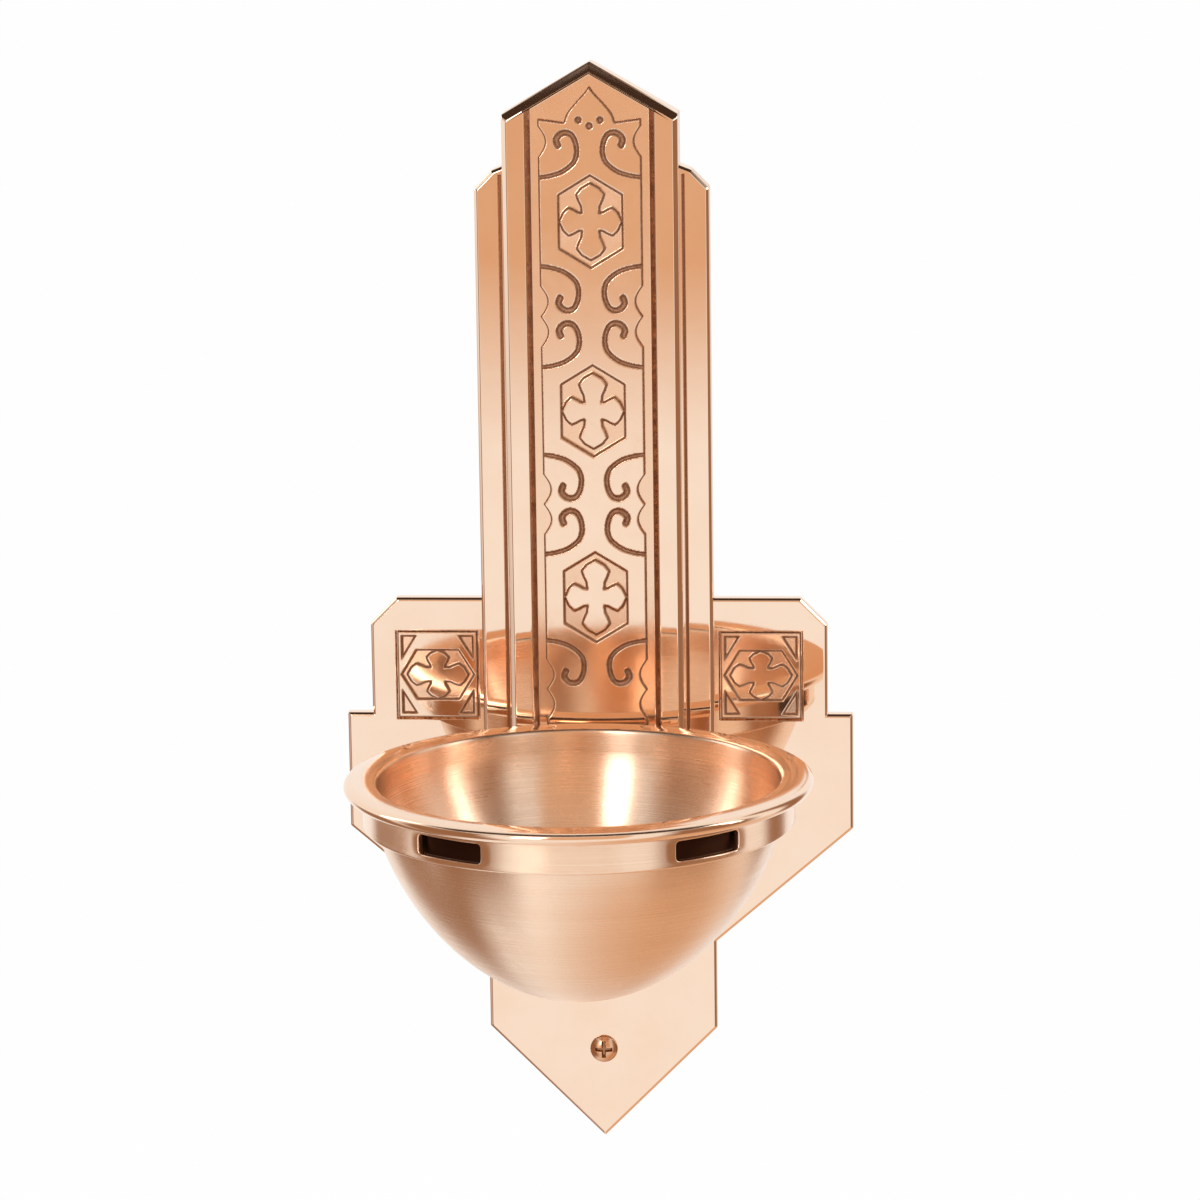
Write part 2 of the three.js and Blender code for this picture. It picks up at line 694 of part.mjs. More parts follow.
// Bracket between the pilaster and the ring
const saddleRadius = ringOuter + BRAZE_GAP;
const saddle = turned(
  [
    [0, ringLow - PAST],
    [saddleRadius, ringLow - PAST],
    [saddleRadius, ringTop + PAST],
    [0, ringTop + PAST],
  ],
  TURN_STEPS,
).translate([0, bowlY, 0]);
const bracketFront = bowlY + Math.sqrt(saddleRadius * saddleRadius - BRACKET_HALF * BRACKET_HALF);
let bracket = block(
  [-BRACKET_HALF, bracketFront + SCREW_CLEARANCE, ringLow + BRACKET_INSET],
  [BRACKET_HALF, pilasterFront, ringTop - BRACKET_INSET],
).subtract(saddle);
for (const [x, z] of bracketScrewPlaces) {
  const hole = sized(circle(BRACKET_SCREW_RADIUS + SCREW_CLEARANCE, SCREW_STEPS), x, z);
  const deep = bracketDepth - SCREW_COVER + SCREW_CLEARANCE;
  bracket = bracket.subtract(slab(hole, pilasterFront + PAST, deep + PAST));
}
add("ring_bracket", bracket, CAST);

// Fasteners
pilasterScrewPlaces.forEach(([x, z], i) => {
  const screw = slottedScrew(PILASTER_SCREW_RADIUS, pilasterScrewLength, x, z);
  add(`pilaster_screw_${i + 1}`, screw, SCREW_METAL);
});
bracketScrewPlaces.forEach(([x, z], i) => {
  const screw = slottedScrew(BRACKET_SCREW_RADIUS, bracketScrewLength, x, z);
  add(`bracket_screw_${i + 1}`, screw, SCREW_METAL);
});
tileRivetPlaces.forEach(([x, z], i) => {
  const length = PLATE_THICK - TILE_RECESS + RIVET_BITE;
  add(`tile_rivet_${i + 1}`, turnedOnPlate(countersunk(RIVET_RADIUS, length), x, z), SCREW_METAL);
});
stripRivetPlaces.forEach(([x, z], i) => {
  const length = PILASTER_THICK - PANEL_DEPTH + RIVET_BITE;
  const profile = shifted(countersunk(RIVET_RADIUS, length), baseFront);
  add(`strip_rivet_${i + 1}`, turnedOnPlate(profile, x, z), SCREW_METAL);
});

const wallScrewTip = plateFront + WALL_SCREW_LENGTH;
const headSide = WALL_SCREW_RISE * 0.3;
const wallScrewProfile = [
  [0, plateFront - WALL_SCREW_RISE],
  [WALL_SCREW_HEAD * 0.45, plateFront - WALL_SCREW_RISE * 0.93],
  [WALL_SCREW_HEAD * 0.8, plateFront - WALL_SCREW_RISE * 0.7],
  [WALL_SCREW_HEAD, plateFront - headSide],
  [WALL_SCREW_HEAD, plateFront],
  [WALL_SCREW_RADIUS, plateFront],
  [WALL_SCREW_RADIUS, wallScrewTip - 3 * WALL_SCREW_RADIUS],
  [0, wallScrewTip],
];
let wallScrew = turnedOnPlate(wallScrewProfile, 0, WALL_SCREW_Z);
const recessHalf = WALL_SCREW_HEAD * 0.11;
const recessReach = WALL_SCREW_HEAD * 0.55;
const recessFront = plateFront - WALL_SCREW_RISE - PAST;
const recessBack = plateFront - WALL_SCREW_RISE * 0.4;
for (const [halfX, halfZ] of [
  [recessHalf, recessReach],
  [recessReach, recessHalf],
]) {
  const low = [-halfX, recessFront, WALL_SCREW_Z - halfZ];
  const high = [halfX, recessBack, WALL_SCREW_Z + halfZ];
  wallScrew = wallScrew.subtract(block(low, high));
}
add("wall_screw", wallScrew, SCREW_METAL);

export default group;
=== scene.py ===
"""Holy water stoup in polished and spun bronze, dressed over its packed frame.

Lengths are metres in the frame's axes: X to the right, Y into the wall, Z up.
The wall is the plane Y = 0 and the top of the bowl's rim is the plane Z = 0.
"""

import math

import bmesh
import bpy
import numpy as np
from bpy.props import FloatProperty, FloatVectorProperty, IntProperty, PointerProperty
from mathutils import Matrix, Vector
from mathutils.geometry import tessellate_polygon


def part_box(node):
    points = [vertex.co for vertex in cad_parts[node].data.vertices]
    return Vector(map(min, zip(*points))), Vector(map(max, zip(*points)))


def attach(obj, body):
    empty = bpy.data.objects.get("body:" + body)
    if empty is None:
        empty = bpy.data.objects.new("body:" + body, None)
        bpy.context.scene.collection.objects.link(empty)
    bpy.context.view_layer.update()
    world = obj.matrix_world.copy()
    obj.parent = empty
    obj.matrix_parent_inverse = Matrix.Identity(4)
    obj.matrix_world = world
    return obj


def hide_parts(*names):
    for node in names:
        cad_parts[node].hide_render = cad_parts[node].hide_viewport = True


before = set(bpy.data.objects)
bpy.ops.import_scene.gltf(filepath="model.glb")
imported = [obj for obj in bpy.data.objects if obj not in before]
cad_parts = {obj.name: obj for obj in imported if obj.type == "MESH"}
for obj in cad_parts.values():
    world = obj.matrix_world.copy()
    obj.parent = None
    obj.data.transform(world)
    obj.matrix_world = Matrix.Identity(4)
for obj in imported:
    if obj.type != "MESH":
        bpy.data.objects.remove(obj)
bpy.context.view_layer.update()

bl_info = {
    "name": "Holy water stoup",
    "version": (1, 0, 0),
    "blender": (4, 5, 0),
    "location": "3D View > Sidebar > Stoup",
    "description": "Builds a wall-hung holy water stoup in bronze",
    "category": "Add Mesh",
}

MM = 0.001
FIXED = "wall_frame"
LIFTED = "bowl"
MERGE = 2e-6  # points nearer than this become one
STRAIGHT = 0.9999  # cosine from which two edges count as one line
EASED_SHARE = 0.45  # the most of an edge that the easing of one corner may take
FRONT_EASE = 0.7  # easing of a bevel's front edge, as a share of the other edges'


def length(label, words, millimetres):
    """A length that a user may change, given in millimetres and kept in metres."""
    return FloatProperty(
        name=label, description=words, default=millimetres * MM, unit="LENGTH", precision=5
    )


def share(label, words, value):
    """A number from 0 to 1 that a user may change."""
    return FloatProperty(
        name=label, description=words, default=value, min=0.0, max=1.0, subtype="FACTOR"
    )


def tint(label, words, colour):
    """A colour that a user may change."""
    return FloatVectorProperty(
        name=label, description=words, default=colour, size=3, min=0.0, max=1.0, subtype="COLOR"
    )


def angle(label, words, degrees):
    """An angle that a user may change, given in degrees."""
    return FloatProperty(
        name=label, description=words, default=math.radians(degrees), subtype="ANGLE"
    )


class StoupPlates(bpy.types.PropertyGroup):
    """Sizes of the wall plate and of the column's two layers."""

    bevel: length("Plate bevel", "Run of the bevel along the wall plate's front edge", 1.1)
    skirt_half: length("Skirt half width", "From the middle to the side of the skirt", 101)
    skirt_height: length("Skirt height", "Upright side of the skirt, down from the rim", 46.8)
    skirt_step: length("Skirt step", "How far the skirt stands out beyond the wings", 10)
    wing_top: length("Wing top", "Height of the wings above the rim", 47)
    wing_chamfer: length("Wing chamfer", "Cut across the wings' upper corners", 10.6)
    tail_half: length("Tail half width", "From the middle to the side of the tail", 46)
    tail_top: length("Tail top", "Depth at which the tail leaves the skirt", 94)
    tail_corner: length("Tail corner", "Depth at which the tail turns to its point", 130)
    column_half: length("Column half width", "From the middle to the side of the column base", 46)
    base_low: length("Base foot", "How far the column base reaches below the rim", 30)
    base_bevel: length("Base bevel", "Run of the bevel along the column base", 1.3)
    shoulder_below: length("Shoulder drop", "From the eaves down to the shoulders", 20.4)
    shoulder_fall: length("Shoulder fall", "Height of the sloped shoulders", 9)
    shoulder_run: length("Shoulder run", "Width of the steep part of the shoulders", 7)
    shoulder_bend: share("Shoulder bend", "Share of the fall that lies in the steep part", 0.8)
    pilaster_half: length("Pilaster half width", "From the middle to the pilaster's side", 34.4)
    pilaster_low: length("Pilaster foot", "How far the pilaster reaches below the rim", 26)
    pilaster_bevel: length("Pilaster bevel", "Run of the bevel along the pilaster", 2)
    eaves: length("Eaves", "Height of the gable's foot", 240)
    gable_rise: length("Gable rise", "From the eaves up to the gable's point", 20)
    gable_bevel: length("Gable bevel", "Run of the bevel along the gable", 3)
    panel_half: length("Panel half width", "From the middle to the panel's front edge", 25.4)
    panel_slope: length("Panel slope", "Run of the panel's long sloped walls", 2.2)
    panel_steep: length("Panel end slope", "Run of the panel's steep walls at its ends", 0.3)
    panel_depth: length("Panel depth", "How far the panel is sunk", 2.6)
    panel_low: length("Panel foot", "How far the panel reaches below the rim", 3)
    panel_ridge: length("Panel ridge", "Flat ridge between the panel and the gable's bevel", 0.5)
    groove_out: length("Groove place", "From the middle to the line beside the pilaster", 35.8)
    groove_half: length("Groove half width", "Half the width of the line beside the pilaster", 0.65)
    groove_depth: length("Groove depth", "Depth of the line beside the pilaster", 0.6)
    corner: length("Corner easing", "How far the corners of the outlines are eased", 0.5)
    edge: length("Edge easing", "How far the long edges are eased", 0.35)


class StoupRelief(bpy.types.PropertyGroup):
    """Sizes of the ornament on the strip and on the wing tiles."""

    strip_half: length("Strip half width", "From the middle to the strip's side", 20.2)
    depth: length("Relief depth", "How far the ornament is sunk", 1.1)
    wall: length("Relief wall", "Run of the sloped walls round the sunk parts", 0.85)
    round_edge: length("Strip edge", "Width of the rounding along the strip's sides", 0.9)
    pitch: length("Pitch", "From one hexagon to the next", 74.5)
    ogee_half: length("Ogee half width", "From the middle to the ogee's foot", 10)
    ogee_rise: length("Ogee rise", "Height of the ogee above the strip's shoulders", 14)
    corner_rise: length("Corner rise", "How far the strip's shoulders rise to their corners", 1.4)
    hexagon_drop: length("First hexagon", "From the ogee's point down to the first hexagon", 52.8)
    scallop_depth: length("Scallop depth", "How far the scallops cut into the strip", 2.8)
    scallop_half: length("Scallop height", "Height of one scallop", 12)
    hexagon_half: length("Hexagon half width", "From the middle to the hexagon's side", 12.9)
    hexagon_side: length("Hexagon side", "Half the height of the hexagon's upright side", 10.7)
    hexagon_point: length("Hexagon point", "From the middle to the hexagon's point", 18.6)
    cross_long: length("Cross long arm", "From the middle to the end of the upright arms", 14.6)
    cross_short: length("Cross short arm", "From the middle to the end of the level arms", 11.8)
    cross_neck: length("Cross neck", "Half the width of an arm at its root", 2.9)
    cross_flare: length("Cross flare", "Half the width of an arm at its widest", 5)
    scroll_width: length("Scroll width", "Half the width of the scrolls' grooves", 1.05)
    bud_radius: length("Bud radius", "Radius of the three buds under the ogee", 1.4)
    bud_spread: length("Bud spread", "From the middle bud across to its neighbours", 4.2)
    bud_up: length("Outer buds", "How far the outer buds lie above the shoulders", 0.8)
    bud_down: length("Middle bud", "How far the middle bud lies below the shoulders", 1.5)
    tile_gap: length("Tile point gap", "From the tile's hexagon to the tile's edge", 0.95)
    tile_border: length("Tile border", "Flat border round the tile's corners", 1.4)
    tile_corner_gap: length("Tile corner gap", "From the hexagon to the corner pockets", 2.4)
    pace: length("Relief pace", "Distance between neighbouring points of the relief", 0.32)


class StoupBowl(bpy.types.PropertyGroup):
    """Sizes of the bowl."""

    wall: length("Bowl wall", "Thickness of the spun wall", 1.8)
    radius: length("Bowl radius", "Outer radius of the wall under the rim", 78.3)
    rim_width: length("Rim width", "From the rim's outer edge to its inner lip", 10.4)
    rim_thick: length("Rim thickness", "Height of the rolled rim", 5.2)
    crown: length("Rim crown", "How far the rim's top stands above its edges", 0.5)
    flat: length("Bowl flat", "Upright part of the wall, down from the rim's top", 9.6)
    power: FloatProperty(
        name="Bowl curve", description="Power of the depth in the wall's curve", default=1.515
    )
    turns: IntProperty(name="Turns", description="Points round the bowl", default=256)


class StoupRing(bpy.types.PropertyGroup):
    """Sizes of the collar ring."""

    wall: length("Ring wall", "Thickness of the ring", 2.6)
    window_width: length("Window width", "Width of a window", 29)
    window_height: length("Window height", "Height of a window", 7.6)
    window_corner: length("Window corner", "Radius of a window's corners", 1.6)
    first: angle("First window", "Turn of the first window's middle from the front", -103.5)
    step: angle("Window step", "Turn from one window to the next", 72)
    edge: length("Ring edge", "Easing of the ring's lower edge", 0.85)
    window_edge: length("Window edge", "Easing of the windows' edges", 0.5)


class StoupFasteners(bpy.types.PropertyGroup):
    """Sizes of the screws and rivets."""

    head: length("Wall screw head", "Radius of the wall screw's head", 5.5)
    rise: length("Wall screw rise", "Height of the wall screw's head", 2.6)
    shank: length("Wall screw shank", "Radius over the wall screw's thread", 2.6)
    thread: length("Thread depth", "Depth of the wall screw's thread", 0.7)
    thread_pitch: length("Thread pitch", "From one turn of the thread to the next", 2.2)
    recess: length("Recess width", "Half the width of the cross in the head", 0.75)
    room: length("Screw room", "Gap round a countersunk head", 0.3)
    keyhole_entry: length("Keyhole entry", "Radius of the keyhole's round part", 5.5)
    keyhole_neck: length("Keyhole neck", "Half the width of the keyhole's slot", 2.8)
    keyhole_travel: length("Keyhole travel", "Length of the keyhole's slot", 11)
    keyhole_below: length("Keyhole place", "From the eaves down to the keyhole's round part", 22)


class StoupFinish(bpy.types.PropertyGroup):
    """Colours and finishes of the bronze."""

    polished: tint("Polished bronze", "Colour of the polished plates", (0.95, 0.73, 0.57))
    polished_deep: tint("Polished bronze, deep", "Its darker cloudings", (0.93, 0.69, 0.52))
    cast: tint("Cast bronze", "Colour of the raised ornament", (0.95, 0.72, 0.55))
    ground: tint("Sunk ground", "Colour of the ornament's matt sunk ground", (0.93, 0.67, 0.49))
    patina: tint("Patina", "Colour in the sunk lines of the ornament", (0.36, 0.18, 0.095))
    # Painted shade: a near-black band on the bowl's wall behind the ring, for the shade seen
    # through its windows.
    painted_ring_shade: tint("Shade_behind_ring", "Colour of the wall that the ring hides", (0.06, 0.025, 0.014))
    # The gable's bevel is painted near black, rough and not metal.
    dark_bevel: tint("Gable edge", "Colour of the dark chamfered edge of the gable", (0.05, 0.027, 0.017))
    spun: tint("Spun bronze", "Colour of the bowl", (0.95, 0.72, 0.55))
    spun_deep: tint("Spun bronze, deep", "Colour of its fine turning lines", (0.9, 0.63, 0.45))
    screw: tint("Screw bronze", "Colour of the screws and rivets", (0.72, 0.4, 0.23))
    polish: share("Polish", "Roughness of the polished plates", 0.02)
    satin: share("Satin", "Roughness of the bowl", 0.27)
    turned: share("Turned", "Roughness of the collar ring", 0.2)


class StoupStage(bpy.types.PropertyGroup):
    """Floor and camera."""

    floor: length("Floor", "How far the floor lies below the rim", 1100)
    floor_colour: tint("Floor colour", "Colour of the floor", (0.86, 0.86, 0.85))
    azimuth: angle("Azimuth", "Turn of the camera from the front", 4.62)
    elevation: angle("Elevation", "Height of the camera as an angle", 11.77)
    roll: angle("Roll", "Roll of the camera", -0.81)
    distance: length("Distance", "From the camera to the point it looks at", 1884)
    target: FloatVectorProperty(
        name="Target", description="The point that the camera looks at",
        default=(5.33 * MM, -60 * MM, 57.67 * MM), size=3, subtype="TRANSLATION",
    )
    lens: FloatProperty(name="Lens", description="Focal length in millimetres", default=146.76)


GROUPS = (
    ("stoup_plates", StoupPlates),
    ("stoup_relief", StoupRelief),
    ("stoup_bowl", StoupBowl),
    ("stoup_ring", StoupRing),
    ("stoup_fasteners", StoupFasteners),
    ("stoup_finish", StoupFinish),
    ("stoup_stage", StoupStage),
)


# Surfaces


def grid_faces(rows, columns, wrap_rows=False, wrap_columns=False):
    """Quads between neighbouring points of a grid, as indices into its flattened rows."""
    row = np.arange(rows if wrap_rows else rows - 1)[:, None]
    column = np.arange(columns if wrap_columns else columns - 1)[None, :]
    below, beside = (row + 1) % rows, (column + 1) % columns
    corners = (
        row * columns + column, row * columns + beside,
        below * columns + beside, below * columns + column,
    )
    return np.stack(np.broadcast_arrays(*corners), -1).reshape(-1, 4)


class Shell:
    """Patches of points and faces that are merged into one closed mesh."""

    def __init__(self):
        self.points, self.faces, self.depth, self.ground, self.map = [], [], [], [], []
        self.count = 0

    def add(self, points, faces, depth=None, places=None, ground=None):
        """Adds points with faces, and for each point its shares and its map coordinates.

        depth is patina and painted wall shade, and on the bowl the painted shade behind the ring;
        ground is sunk matt ground, and on the bowl its rubbed rim.
        """
        points = np.asarray(points, float).reshape(-1, 3)
        amount = len(points)
        self.points.append(points)
        self.faces += (np.asarray(faces) + self.count).tolist()
        self.depth.append(np.zeros(amount) if depth is None else np.ravel(depth))
        self.ground.append(np.zeros(amount) if ground is None else np.ravel(ground))
        self.map.append(np.zeros((amount, 2)) if places is None else places.reshape(-1, 2))
        self.count += amount

    def grid(self, points, wrap_rows=False, wrap_columns=False, **shares):
        """Adds a grid of points, rows by columns by 3, with quads between neighbours."""
        rows, columns = points.shape[:2]
        self.add(points, grid_faces(rows, columns, wrap_rows, wrap_columns), **shares)

    def cap(self, loop, holes=(), depth=None):
        """Closes a flat loop of points, less its holes, with triangles."""
        loops = [loop, *holes]
        flat = [[Vector((p[0], p[2], 0)) for p in ring] for ring in loops]
        level = None if depth is None else np.full(sum(map(len, loops)), depth)
        self.add(np.concatenate(loops), tessellate_polygon(flat), level)


def finish_piece(node, shell, finish, body=FIXED, sharp=40.0, flat=False):
    """Makes the shell the dressed piece of a node: closed, faces outwards, shaded smooth."""
    name, slot = node + "_dressed", FINISHES[finish][0]
    mesh = bpy.data.meshes.new(name)
    mesh.from_pydata(np.concatenate(shell.points).tolist(), [], shell.faces)
    for label, values in (("depth", shell.depth), ("ground", shell.ground)):
        mesh.attributes.new(label, "FLOAT", "POINT").data.foreach_set(
            "value", np.concatenate(values).astype(np.float32)
        )
    corners = np.empty(len(mesh.loops), np.int32)
    mesh.loops.foreach_get("vertex_index", corners)
    places = np.concatenate(shell.map)[corners].astype(np.float32)
    mesh.uv_layers.new(name="turning").data.foreach_set("uv", places.ravel())
    work = bmesh.new()
    work.from_mesh(mesh)
    bmesh.ops.remove_doubles(work, verts=work.verts, dist=MERGE)
    bmesh.ops.recalc_face_normals(work, faces=work.faces)
    if work.calc_volume(signed=True) < 0:
        bmesh.ops.reverse_faces(work, faces=work.faces)
    loose = sum(1 for edge in work.edges if len(edge.link_faces) != 2)
    work.to_mesh(mesh)
    work.free()
    if loose:
        raise RuntimeError(f"{name} is not closed: {loose} edges")
    mesh.shade_smooth()
    mesh.set_sharp_from_angle(angle=math.radians(sharp))
    mesh.materials.append(bronze(finish))
    piece = bpy.data.objects.new(name, mesh)
    bpy.context.scene.collection.objects.link(piece)
    if flat:
        # Broad faces keep their own direction, and the narrow eased edges take up the turn.
        even = piece.modifiers.new("flat_faces", "WEIGHTED_NORMAL")
        even.weight, even.keep_sharp = 100, True
    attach(piece, body)
    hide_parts(node)


def inset(loop, amounts):
    """The loop moved inwards, each edge by its own amount.

    With normals a and b before and after a corner, c = a.b and amounts p and q, the corner slides
    by (p (a - c b) + q (b - c a)) / (1 - c^2), or by q b where the edges run on straight.
    """
    along = np.roll(loop, -1, axis=0) - loop
    along /= np.linalg.norm(along, axis=1, keepdims=True)
    after = np.stack([-along[:, 1], along[:, 0]], 1)
    before = np.roll(after, 1, axis=0)
    q = np.broadcast_to(amounts, len(loop))[:, None]
    p = np.roll(q, 1, axis=0)
    c = np.sum(before * after, 1, keepdims=True)
    straight = np.abs(c) > STRAIGHT
    slide = p * (before - c * after) + q * (after - c * before)
    return loop + np.where(straight, q * after, slide / np.where(straight, 1, 1 - c * c))


def eased(loop, reach, steps=4, closed=True):
    """Each corner C becomes the curve (1-t)^2 A + 2t(1-t) C + t^2 B.

    A and B lie on the corner's two edges, at reach from C.
    """
    loop = np.asarray(loop, float)

    def towards(side):
        """The place at reach from each corner towards its neighbour on one side."""
        along = np.roll(loop, side, axis=0) - loop
        far = np.linalg.norm(along, axis=1, keepdims=True)
        return loop + along * np.minimum(reach / far, EASED_SHARE)

    start, end = towards(1), towards(-1)
    t = np.linspace(0, 1, steps + 1)[None, :, None]
    curve = (1 - t) ** 2 * start[:, None] + 2 * t * (1 - t) * loop[:, None] + t**2 * end[:, None]
    if closed:
        return curve.reshape(-1, 2)
    return np.concatenate([loop[:1], curve[1:-1].reshape(-1, 2), loop[-1:]])


def carried(outline, profile, corner=0.0):
    """Rings of an outline carried along a profile of insets and depths, with eased corners."""
    rings = []
    for amounts, y in profile:
        loop = inset(outline, amounts)
        loop = eased(loop, corner) if corner else loop
        rings.append(np.stack([loop[:, 0], np.full(len(loop), y), loop[:, 1]], 1))
    return np.array(rings)


def mirrored(half):
    """A right half outline from its lowest point up, closed by its mirror image."""
    half = np.array(half, float)
    left = half[half[:, 0] > 0][::-1] * (-1, 1)
    return np.concatenate([half, left])


def circle(radius, x, z, steps):
    """Points round a circle in the wall's plane."""
    turn = np.arange(steps) * 2 * math.pi / steps
    return np.stack([x + radius * np.cos(turn), z + radius * np.sin(turn)], 1)


def rectangle(half_x, half_z, x, z):
    """The four corners of a rectangle in the wall's plane."""
    return np.array([(-1, -1), (1, -1), (1, 1), (-1, 1)]) * (half_x, half_z) + (x, z)


def plate_shell(rings, holes=()):
    """A plate from its rings, back to front, and holes as (rings front to back, front, back).

    The two flags say at which faces a hole is open; where it isn't, a floor closes it.
    """
    shell = Shell()
    shell.grid(rings, wrap_columns=True)
    shell.cap(rings[-1], [hole[0] for hole, front, back in holes if front])
    shell.cap(rings[0], [hole[-1] for hole, front, back in holes if back])
    for hole, front, back in holes:
        shell.grid(hole, wrap_columns=True)
        if not front:
            shell.cap(hole[0])
        if not back:
            shell.cap(hole[-1])
    return shell


def bevelled(back, front, bevels, edge):
    """Profile of a plate's edge from its back: upright, then bevels of 45 degrees to the front.

    At depth e behind the front an edge with bevel b is inset by max(0, b - e), with the corner
    eased to (edge + b - e)^2 / 4 edge; the front and back corners are curves of the same reach.
    """
    bevels = np.asarray(bevels, float)
    t = np.linspace(0, 1, 5)
    profile = [(bevels * 0 + 2 * edge, back)]
    profile += [(bevels * 0 + edge * (1 - k) ** 2, back - edge * k * k) for k in t]
    depths = [b + edge * k for b in np.unique(bevels) for k in 1 - 2 * t]
    for depth in sorted(depths, reverse=True):
        past = bevels - depth
        soft = (edge + past) ** 2 / (4 * edge)
        amounts = np.where(past < -edge, 0, np.where(past > edge, past, soft))
        profile.append((amounts, front + depth))
    for k in t:
        behind = FRONT_EASE * edge * (1 - k) ** 2
        profile.append((bevels - behind + edge * k * k, front + behind))
    return profile + [(bevels + 2 * edge, front)]


def sunk_wall(front, floor, slopes, edge):
    """Profile of a sunk part's walls: from the front over each edge's slope to the floor, eased."""
    slopes = np.asarray(slopes, float)
    t, bend, drop = np.linspace(0, 1, 5), 0.12, floor - front
    profile = [(-slopes - 2 * edge, front)]
    profile += [(-slopes * (1 - bend * k * k) - edge * (1 - k) ** 2, front + bend * drop * k * k)
                for k in t]
    profile += [(-slopes * bend * (1 - k) ** 2 + edge * k * k, floor - bend * drop * (1 - k) ** 2)
                for k in t]
    return profile + [(slopes * 0 + 2 * edge, floor)]


def turned_shell(profile, centre, steps, **shares):
    """A profile of radius r and height z carried round the upright axis: (r sin a, -r cos a, z)."""
    turn = np.linspace(0, 2 * math.pi, steps + 1)[None, :]
    radius, height = profile[:, 0, None], profile[:, 1, None]
    points = np.stack([
        centre[0] + radius * np.sin(turn), centre[1] - radius * np.cos(turn),
        height + 0 * turn,
    ], -1)
    points[:, -1] = points[:, 0]
    run = np.concatenate([[0], np.cumsum(np.linalg.norm(np.diff(profile, axis=0), axis=1))])
    places = np.stack(np.broadcast_arrays(turn / (2 * math.pi), run[:, None]), -1)
    spread = {label: np.broadcast_to(values[:, None], points.shape[:2])
              for label, values in shares.items()}
    shell = Shell()
    shell.grid(points, places=places, **spread)
    return shell


def smooth(low, high, values):
    """The smooth step 3t^2 - 2t^3, from 0 at low to 1 at high."""
    t = np.clip((values - low) / (high - low), 0, 1)
    return t * t * (3 - 2 * t)


def line_distance(u, v, line):
    """Distance to a line of points, and how far along it the nearest place lies, from 0 to 1."""
    best, where = np.full(u.shape, np.inf), np.zeros(u.shape)
    for i, (start, end) in enumerate(zip(line[:-1], line[1:])):
        span = end - start
        t = np.clip(((u - start[0]) * span[0] + (v - start[1]) * span[1]) / span.dot(span), 0, 1)
        far = np.hypot(u - start[0] - t * span[0], v - start[1] - t * span[1])
        where = np.where(far < best, (i + t) / (len(line) - 1), where)
        best = np.minimum(best, far)
    return best, where


def signed_distance(u, v, loop):
    """Distance to a closed loop, below 0 inside it: a ray to the right crosses it an odd time."""
    closed = np.concatenate([loop, loop[:1]])
    inside = np.zeros(u.shape, bool)
    for (x0, z0), (x1, z1) in zip(closed[:-1], closed[1:]):
        if z0 != z1:
            spans = (z0 > v) != (z1 > v)
            inside ^= spans & (u < x0 + (v - z0) * (x1 - x0) / (z1 - z0))
    return np.where(inside, -1, 1) * line_distance(u, v, closed)[0]


def spline(points, steps):
    """A smooth curve through points: the cubic blend of each four neighbours."""
    points = np.asarray(points, float)
    padded = np.concatenate([2 * points[:1] - points[1:2], points, 2 * points[-1:] - points[-2:-1]])
    t = np.linspace(0, 1, steps, endpoint=False)[None, :, None]
    a, b, c, d = (padded[i:len(padded) - 3 + i, None] for i in range(4))
    curve = 0.5 * (2 * b + (c - a) * t + (2 * a - 5 * b + 4 * c - d) * t**2
                   + (3 * b - a - 3 * c + d) * t**3)
    return np.concatenate([curve.reshape(-1, 2), points[-1:]])


# Finishes


class Web:
    """Adds nodes to a tree; a value that is a socket is linked, any other is set."""

    def __init__(self, tree):
        self.tree = tree
        tree.nodes.clear()

    def put(self, value, socket):
        """Links or sets one input."""
        if isinstance(value, bpy.types.NodeSocket):
            self.tree.links.new(value, socket)
        else:
            socket.default_value = value

    def add(self, kind, values=None, **options):
        """One node with its options and its inputs by name or number."""
        node = self.tree.nodes.new(kind)
        for key, value in options.items():
            setattr(node, key, value)
        for key, value in (values or {}).items():
            self.put(value, node.inputs[key])
        return node

    def math(self, operation, first, second=0.0):
        """One sum; returns its result."""
        return self.add("ShaderNodeMath", {0: first, 1: second}, operation=operation).outputs[0]

    def plus(self, first, second):
        """Two values added."""
        return self.math("ADD", first, second)

    def times(self, first, second):
        """Two values multiplied."""
        return self.math("MULTIPLY", first, second)

    def mix(self, factor, first, second):
        """A blend of two colours; returns its result."""
        node = self.add("ShaderNodeMix", data_type="RGBA")
        for key, value in (("Factor", factor), ("A", opaque(first)), ("B", opaque(second))):
            self.put(value, next(s for s in node.inputs if s.name == key and s.enabled))
        return next(s for s in node.outputs if s.enabled)

    def span(self, value, low, high, to_low=0.0, to_high=1.0):
        """A value moved from one range to another and kept in it."""
        sockets = {"Value": value, 1: low, 2: high, 3: to_low, 4: to_high}
        return self.add("ShaderNodeMapRange", sockets).outputs[0]

    def place(self):
        """The place in the object's own axes."""
        return self.add("ShaderNodeTexCoord").outputs["Object"]

    def mark(self, name):
        """A share that the mesh carries at its points."""
        return self.add("ShaderNodeAttribute", attribute_name=name).outputs["Fac"]

    def noise(self, place, scale, detail, **more):
        """Noise from 0 to 1 at a place."""
        sockets = {"Vector": place, "Scale": scale, "Detail": detail, **more}
        return self.add("ShaderNodeTexNoise", sockets).outputs[0]

    def bump(self, height, distance, strength=1.0):
        """The normal of a surface with this height on it."""
        sockets = {"Height": height, "Distance": distance, "Strength": strength}
        return self.add("ShaderNodeBump", sockets).outputs[0]

    def effect(self, name, **values):
        """The outputs of a shared node group, which is built at its first use."""
        tree = bpy.data.node_groups.get(name) or EFFECTS[name](name)
        return self.add("ShaderNodeGroup", values, node_tree=tree).outputs


